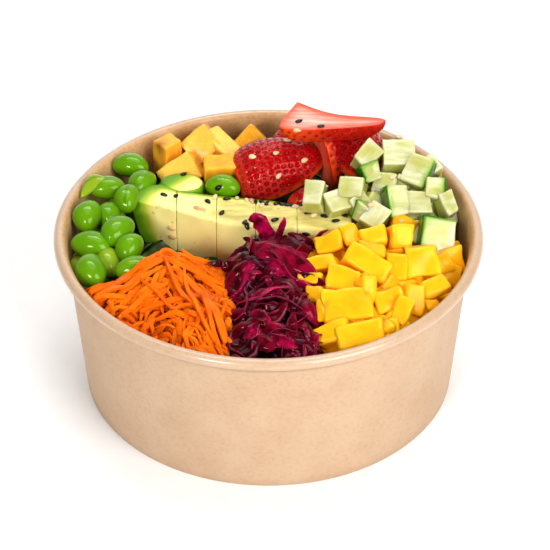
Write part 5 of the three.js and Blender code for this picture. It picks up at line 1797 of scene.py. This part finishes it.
def stage(settings):
    """The floor, soft lights, light from all round and the camera."""
    floor_sweep(settings)
    for name, place, target, power, width in (
        ("key_light", (-0.5, -1.0, 0.64), BOWL_CENTRE, settings.key_power, 0.3),
        ("fill_light", (0.7, -0.85, 0.75), BOWL_CENTRE, settings.fill_power, 0.8),
        ("top_light", (0.1, 0.2, 1.3), BOWL_CENTRE, settings.top_power, 0.8),
        ("backdrop_light", (0.0, 0.7, 1.5), (0, 1.9, 0.4), settings.backdrop_power, 1.0),
    ):
        light = bpy.data.lights.new(name, "AREA")
        light.energy = power
        light.size = width
        aimed(name, light, place, target)
    world = bpy.data.worlds.new("studio")
    world.use_nodes = True
    tree = world.node_tree
    tree.nodes.clear()
    links = {"Color": tuple(settings.paper), "Strength": settings.ambient}
    sky = add(tree, "ShaderNodeBackground", links)
    add(tree, "ShaderNodeOutputWorld", {"Surface": sky.outputs["Background"]})
    bpy.context.scene.world = world
    bpy.context.scene.view_settings.view_transform = "Standard"
    lens = bpy.data.cameras.new("camera")
    lens.lens = settings.lens
    lens.sensor_width = 36.0
    angle = settings.elevation
    way = Vector((0.0, -math.cos(angle), math.sin(angle)))
    place = Vector(CAMERA_TARGET) + way * settings.distance
    bpy.context.scene.camera = aimed("camera", lens, place, CAMERA_TARGET)


# ---- add-on

COLOUR = {"subtype": "COLOR", "size": 4, "min": 0.0, "max": 1.0}
LENGTH = {"unit": "LENGTH", "min": 0.0}
POWER = {"unit": "POWER", "min": 0.0}


class PokeBowlSettings(bpy.types.PropertyGroup):
    """Sizes and colours of the paper bowl."""

    base_recess: bpy.props.FloatProperty(
        name="Base recess",
        description="Height of the base over the table",
        default=BASE_RECESS * MM,
        **LENGTH,
    )
    foot_width: bpy.props.FloatProperty(
        name="Foot width",
        description="Width of the folded foot that the bowl stands on",
        default=FOOT_WIDTH * MM,
        **LENGTH,
    )
    board: bpy.props.FloatVectorProperty(
        name="Kraft board",
        description="Colour of the board outside",
        default=linear("#bb9675"),
        **COLOUR,
    )
    board_pale: bpy.props.FloatVectorProperty(
        name="Pale pulp",
        description="Colour of the paler clouds in the board",
        default=linear("#cdb193"),
        **COLOUR,
    )
    lining: bpy.props.FloatVectorProperty(
        name="Lined board",
        description="Colour of the film-lined board inside",
        default=linear("#c69864"),
        **COLOUR,
    )
    lining_pale: bpy.props.FloatVectorProperty(
        name="Pale lining",
        description="Colour of the paler clouds in the lining",
        default=linear("#cea678"),
        **COLOUR,
    )


class PokeToppingSettings(bpy.types.PropertyGroup):
    """Sizes, counts and colours of the toppings."""

    avocado_cut: bpy.props.FloatProperty(
        name="Avocado cuts",
        description="Width of the cuts between the avocado slices",
        default=AVOCADO_CUT * MM,
        **LENGTH,
    )
    bean: bpy.props.FloatVectorProperty(
        name="Edamame", description="Colour of the bean skin", default=linear("#467a02"), **COLOUR
    )
    carrot: bpy.props.FloatVectorProperty(
        name="Carrot",
        description="Colour of the darker shreds",
        default=linear("#ee6c04"),
        **COLOUR,
    )
    cabbage: bpy.props.FloatVectorProperty(
        name="Red cabbage",
        description="Colour of the thin cut edges",
        default=linear("#b83060"),
        **COLOUR,
    )
    mango: bpy.props.FloatVectorProperty(
        name="Mango", description="Colour of the riper dice", default=linear("#fca800"), **COLOUR
    )
    cucumber: bpy.props.FloatVectorProperty(
        name="Cucumber",
        description="Colour of the watery streaks in the flesh",
        default=linear("#d8d6b6"),
        **COLOUR,
    )
    avocado: bpy.props.FloatVectorProperty(
        name="Avocado",
        description="Colour of the flesh next to the stone",
        default=linear("#fff2a0"),
        **COLOUR,
    )
    pineapple: bpy.props.FloatVectorProperty(
        name="Pineapple",
        description="Colour of the flesh between the fibres",
        default=linear("#e2960e"),
        **COLOUR,
    )
    strawberry: bpy.props.FloatVectorProperty(
        name="Strawberry", description="Colour of the skin", default=linear("#b80408"), **COLOUR
    )
    leaf: bpy.props.FloatVectorProperty(
        name="Leaves",
        description="Colour of the darker leaves",
        default=linear("#2a3f18"),
        **COLOUR,
    )
    carrot_shreds: bpy.props.IntProperty(
        name="Carrot shreds", description="Number of loose carrot shreds", default=640, min=0
    )
    cabbage_shreds: bpy.props.IntProperty(
        name="Cabbage ribbons", description="Number of loose cabbage ribbons", default=150, min=0
    )


class PokeStageSettings(bpy.types.PropertyGroup):
    """The floor, the lights and the camera."""

    paper: bpy.props.FloatVectorProperty(
        name="Sweep",
        description="Colour of the paper sweep and of the light from all round",
        default=linear("#fafafa"),
        **COLOUR,
    )
    key_power: bpy.props.FloatProperty(
        name="Key light", description="Power of the light at the left", default=7.6, **POWER
    )
    fill_power: bpy.props.FloatProperty(
        name="Fill light", description="Power of the light at the right", default=15.5, **POWER
    )
    top_power: bpy.props.FloatProperty(
        name="Top light", description="Power of the light above", default=4.0, **POWER
    )
    backdrop_power: bpy.props.FloatProperty(
        name="Backdrop light",
        description="Power of the light on the sweep behind",
        default=25.0,
        **POWER,
    )
    ambient: bpy.props.FloatProperty(
        name="Ambient", description="Strength of the light from all round", default=0.2, min=0.0
    )
    lens: bpy.props.FloatProperty(
        name="Lens", description="Focal length", default=168.03, min=1.0, unit="CAMERA"
    )
    distance: bpy.props.FloatProperty(
        name="Distance",
        description="From the camera to the bowl",
        default=1.0,
        min=0.1,
        unit="LENGTH",
    )
    elevation: bpy.props.FloatProperty(
        name="Elevation",
        description="Angle of the camera above the table",
        default=math.radians(37.57),
        subtype="ANGLE",
    )


class POKE_OT_bowl(bpy.types.Operator):
    """Make the kraft paper bowl"""

    bl_idname = "poke.bowl"
    bl_label = "Paper bowl"

    def execute(self, context):
        paper_bowl(context.scene.poke_bowl)
        return {"FINISHED"}


class POKE_OT_leaves(bpy.types.Operator):
    """Make the bed of leaves"""

    bl_idname = "poke.leaves"
    bl_label = "Leaf bed"

    def execute(self, context):
        leaf_bed(context.scene.poke_toppings)
        return {"FINISHED"}


class POKE_OT_edamame(bpy.types.Operator):
    """Make the edamame beans"""

    bl_idname = "poke.edamame"
    bl_label = "Edamame"

    def execute(self, context):
        edamame_heap(context.scene.poke_toppings)
        lone_bean(context.scene.poke_toppings)
        return {"FINISHED"}


class POKE_OT_carrot(bpy.types.Operator):
    """Make the grated carrot"""

    bl_idname = "poke.carrot"
    bl_label = "Grated carrot"

    def execute(self, context):
        carrot_heap(context.scene.poke_toppings)
        return {"FINISHED"}


class POKE_OT_cabbage(bpy.types.Operator):
    """Make the shredded red cabbage"""

    bl_idname = "poke.cabbage"
    bl_label = "Red cabbage"

    def execute(self, context):
        cabbage_heap(context.scene.poke_toppings)
        return {"FINISHED"}


class POKE_OT_mango(bpy.types.Operator):
    """Make the mango dice"""

    bl_idname = "poke.mango"
    bl_label = "Mango"

    def execute(self, context):
        mango_heap(context.scene.poke_toppings)
        return {"FINISHED"}


class POKE_OT_cucumber(bpy.types.Operator):
    """Make the cucumber dice"""

    bl_idname = "poke.cucumber"
    bl_label = "Cucumber"

    def execute(self, context):
        cucumber_heap(context.scene.poke_toppings)
        return {"FINISHED"}


class POKE_OT_avocado(bpy.types.Operator):
    """Make the sliced avocado"""

    bl_idname = "poke.avocado"
    bl_label = "Avocado"

    def execute(self, context):
        avocado(context.scene.poke_toppings)
        return {"FINISHED"}


class POKE_OT_pineapple(bpy.types.Operator):
    """Make the pineapple chunks"""

    bl_idname = "poke.pineapple"
    bl_label = "Pineapple"

    def execute(self, context):
        pineapple(context.scene.poke_toppings)
        return {"FINISHED"}


class POKE_OT_strawberries(bpy.types.Operator):
    """Make the strawberries"""

    bl_idname = "poke.strawberries"
    bl_label = "Strawberries"

    def execute(self, context):
        strawberries(context.scene.poke_toppings)
        return {"FINISHED"}


class POKE_OT_sesame(bpy.types.Operator):
    """Scatter the sesame seeds over what has been made"""

    bl_idname = "poke.sesame"
    bl_label = "Sesame"

    def execute(self, context):
        names = ("avocado", "strawberry", "cucumber", "shredded", "loose", "grated", "paper")
        pieces = (piece for piece in context.scene.objects if piece.name.startswith(names))
        pieces = (piece for piece in pieces if piece.type == "MESH" and not piece.hide_render)
        sesame([piece for piece in pieces if piece.name not in frame["nodes"]])
        return {"FINISHED"}


class POKE_OT_stage(bpy.types.Operator):
    """Make the floor, the lights and the camera"""

    bl_idname = "poke.stage"
    bl_label = "Stage"

    def execute(self, context):
        stage(context.scene.poke_stage)
        return {"FINISHED"}


class POKE_PT_panel(bpy.types.Panel):
    """The bowl's pieces and their settings"""

    bl_idname = "POKE_PT_panel"
    bl_label = "Poke Bowl"
    bl_space_type = "VIEW_3D"
    bl_region_type = "UI"
    bl_category = "Poke Bowl"

    def draw(self, context):
        layout = self.layout
        scene = context.scene
        for settings in (scene.poke_bowl, scene.poke_toppings, scene.poke_stage):
            box = layout.box()
            for name in settings.__annotations__:
                box.prop(settings, name)
        for operator in OPERATORS:
            layout.operator(operator.bl_idname)


OPERATORS = (
    POKE_OT_bowl,
    POKE_OT_leaves,
    POKE_OT_edamame,
    POKE_OT_carrot,
    POKE_OT_cabbage,
    POKE_OT_mango,
    POKE_OT_cucumber,
    POKE_OT_avocado,
    POKE_OT_pineapple,
    POKE_OT_strawberries,
    POKE_OT_sesame,
    POKE_OT_stage,
)
CLASSES = (PokeBowlSettings, PokeToppingSettings, PokeStageSettings, *OPERATORS, POKE_PT_panel)


def register():
    """Registers the classes and hangs their settings on the scene."""
    for cls in CLASSES:
        bpy.utils.register_class(cls)
    bpy.types.Scene.poke_bowl = bpy.props.PointerProperty(type=PokeBowlSettings)
    bpy.types.Scene.poke_toppings = bpy.props.PointerProperty(type=PokeToppingSettings)
    bpy.types.Scene.poke_stage = bpy.props.PointerProperty(type=PokeStageSettings)


def unregister():
    """Takes the settings off the scene and unregisters the classes."""
    del bpy.types.Scene.poke_stage
    del bpy.types.Scene.poke_toppings
    del bpy.types.Scene.poke_bowl
    for cls in reversed(CLASSES):
        bpy.utils.unregister_class(cls)


def main():
    register()
    bpy.ops.poke.bowl()
    bpy.ops.poke.leaves()
    bpy.ops.poke.edamame()
    bpy.ops.poke.carrot()
    bpy.ops.poke.cabbage()
    bpy.ops.poke.mango()
    bpy.ops.poke.cucumber()
    bpy.ops.poke.avocado()
    bpy.ops.poke.pineapple()
    bpy.ops.poke.strawberries()
    bpy.ops.poke.sesame()
    bpy.ops.poke.stage()


if __name__ == "__main__":
    main()
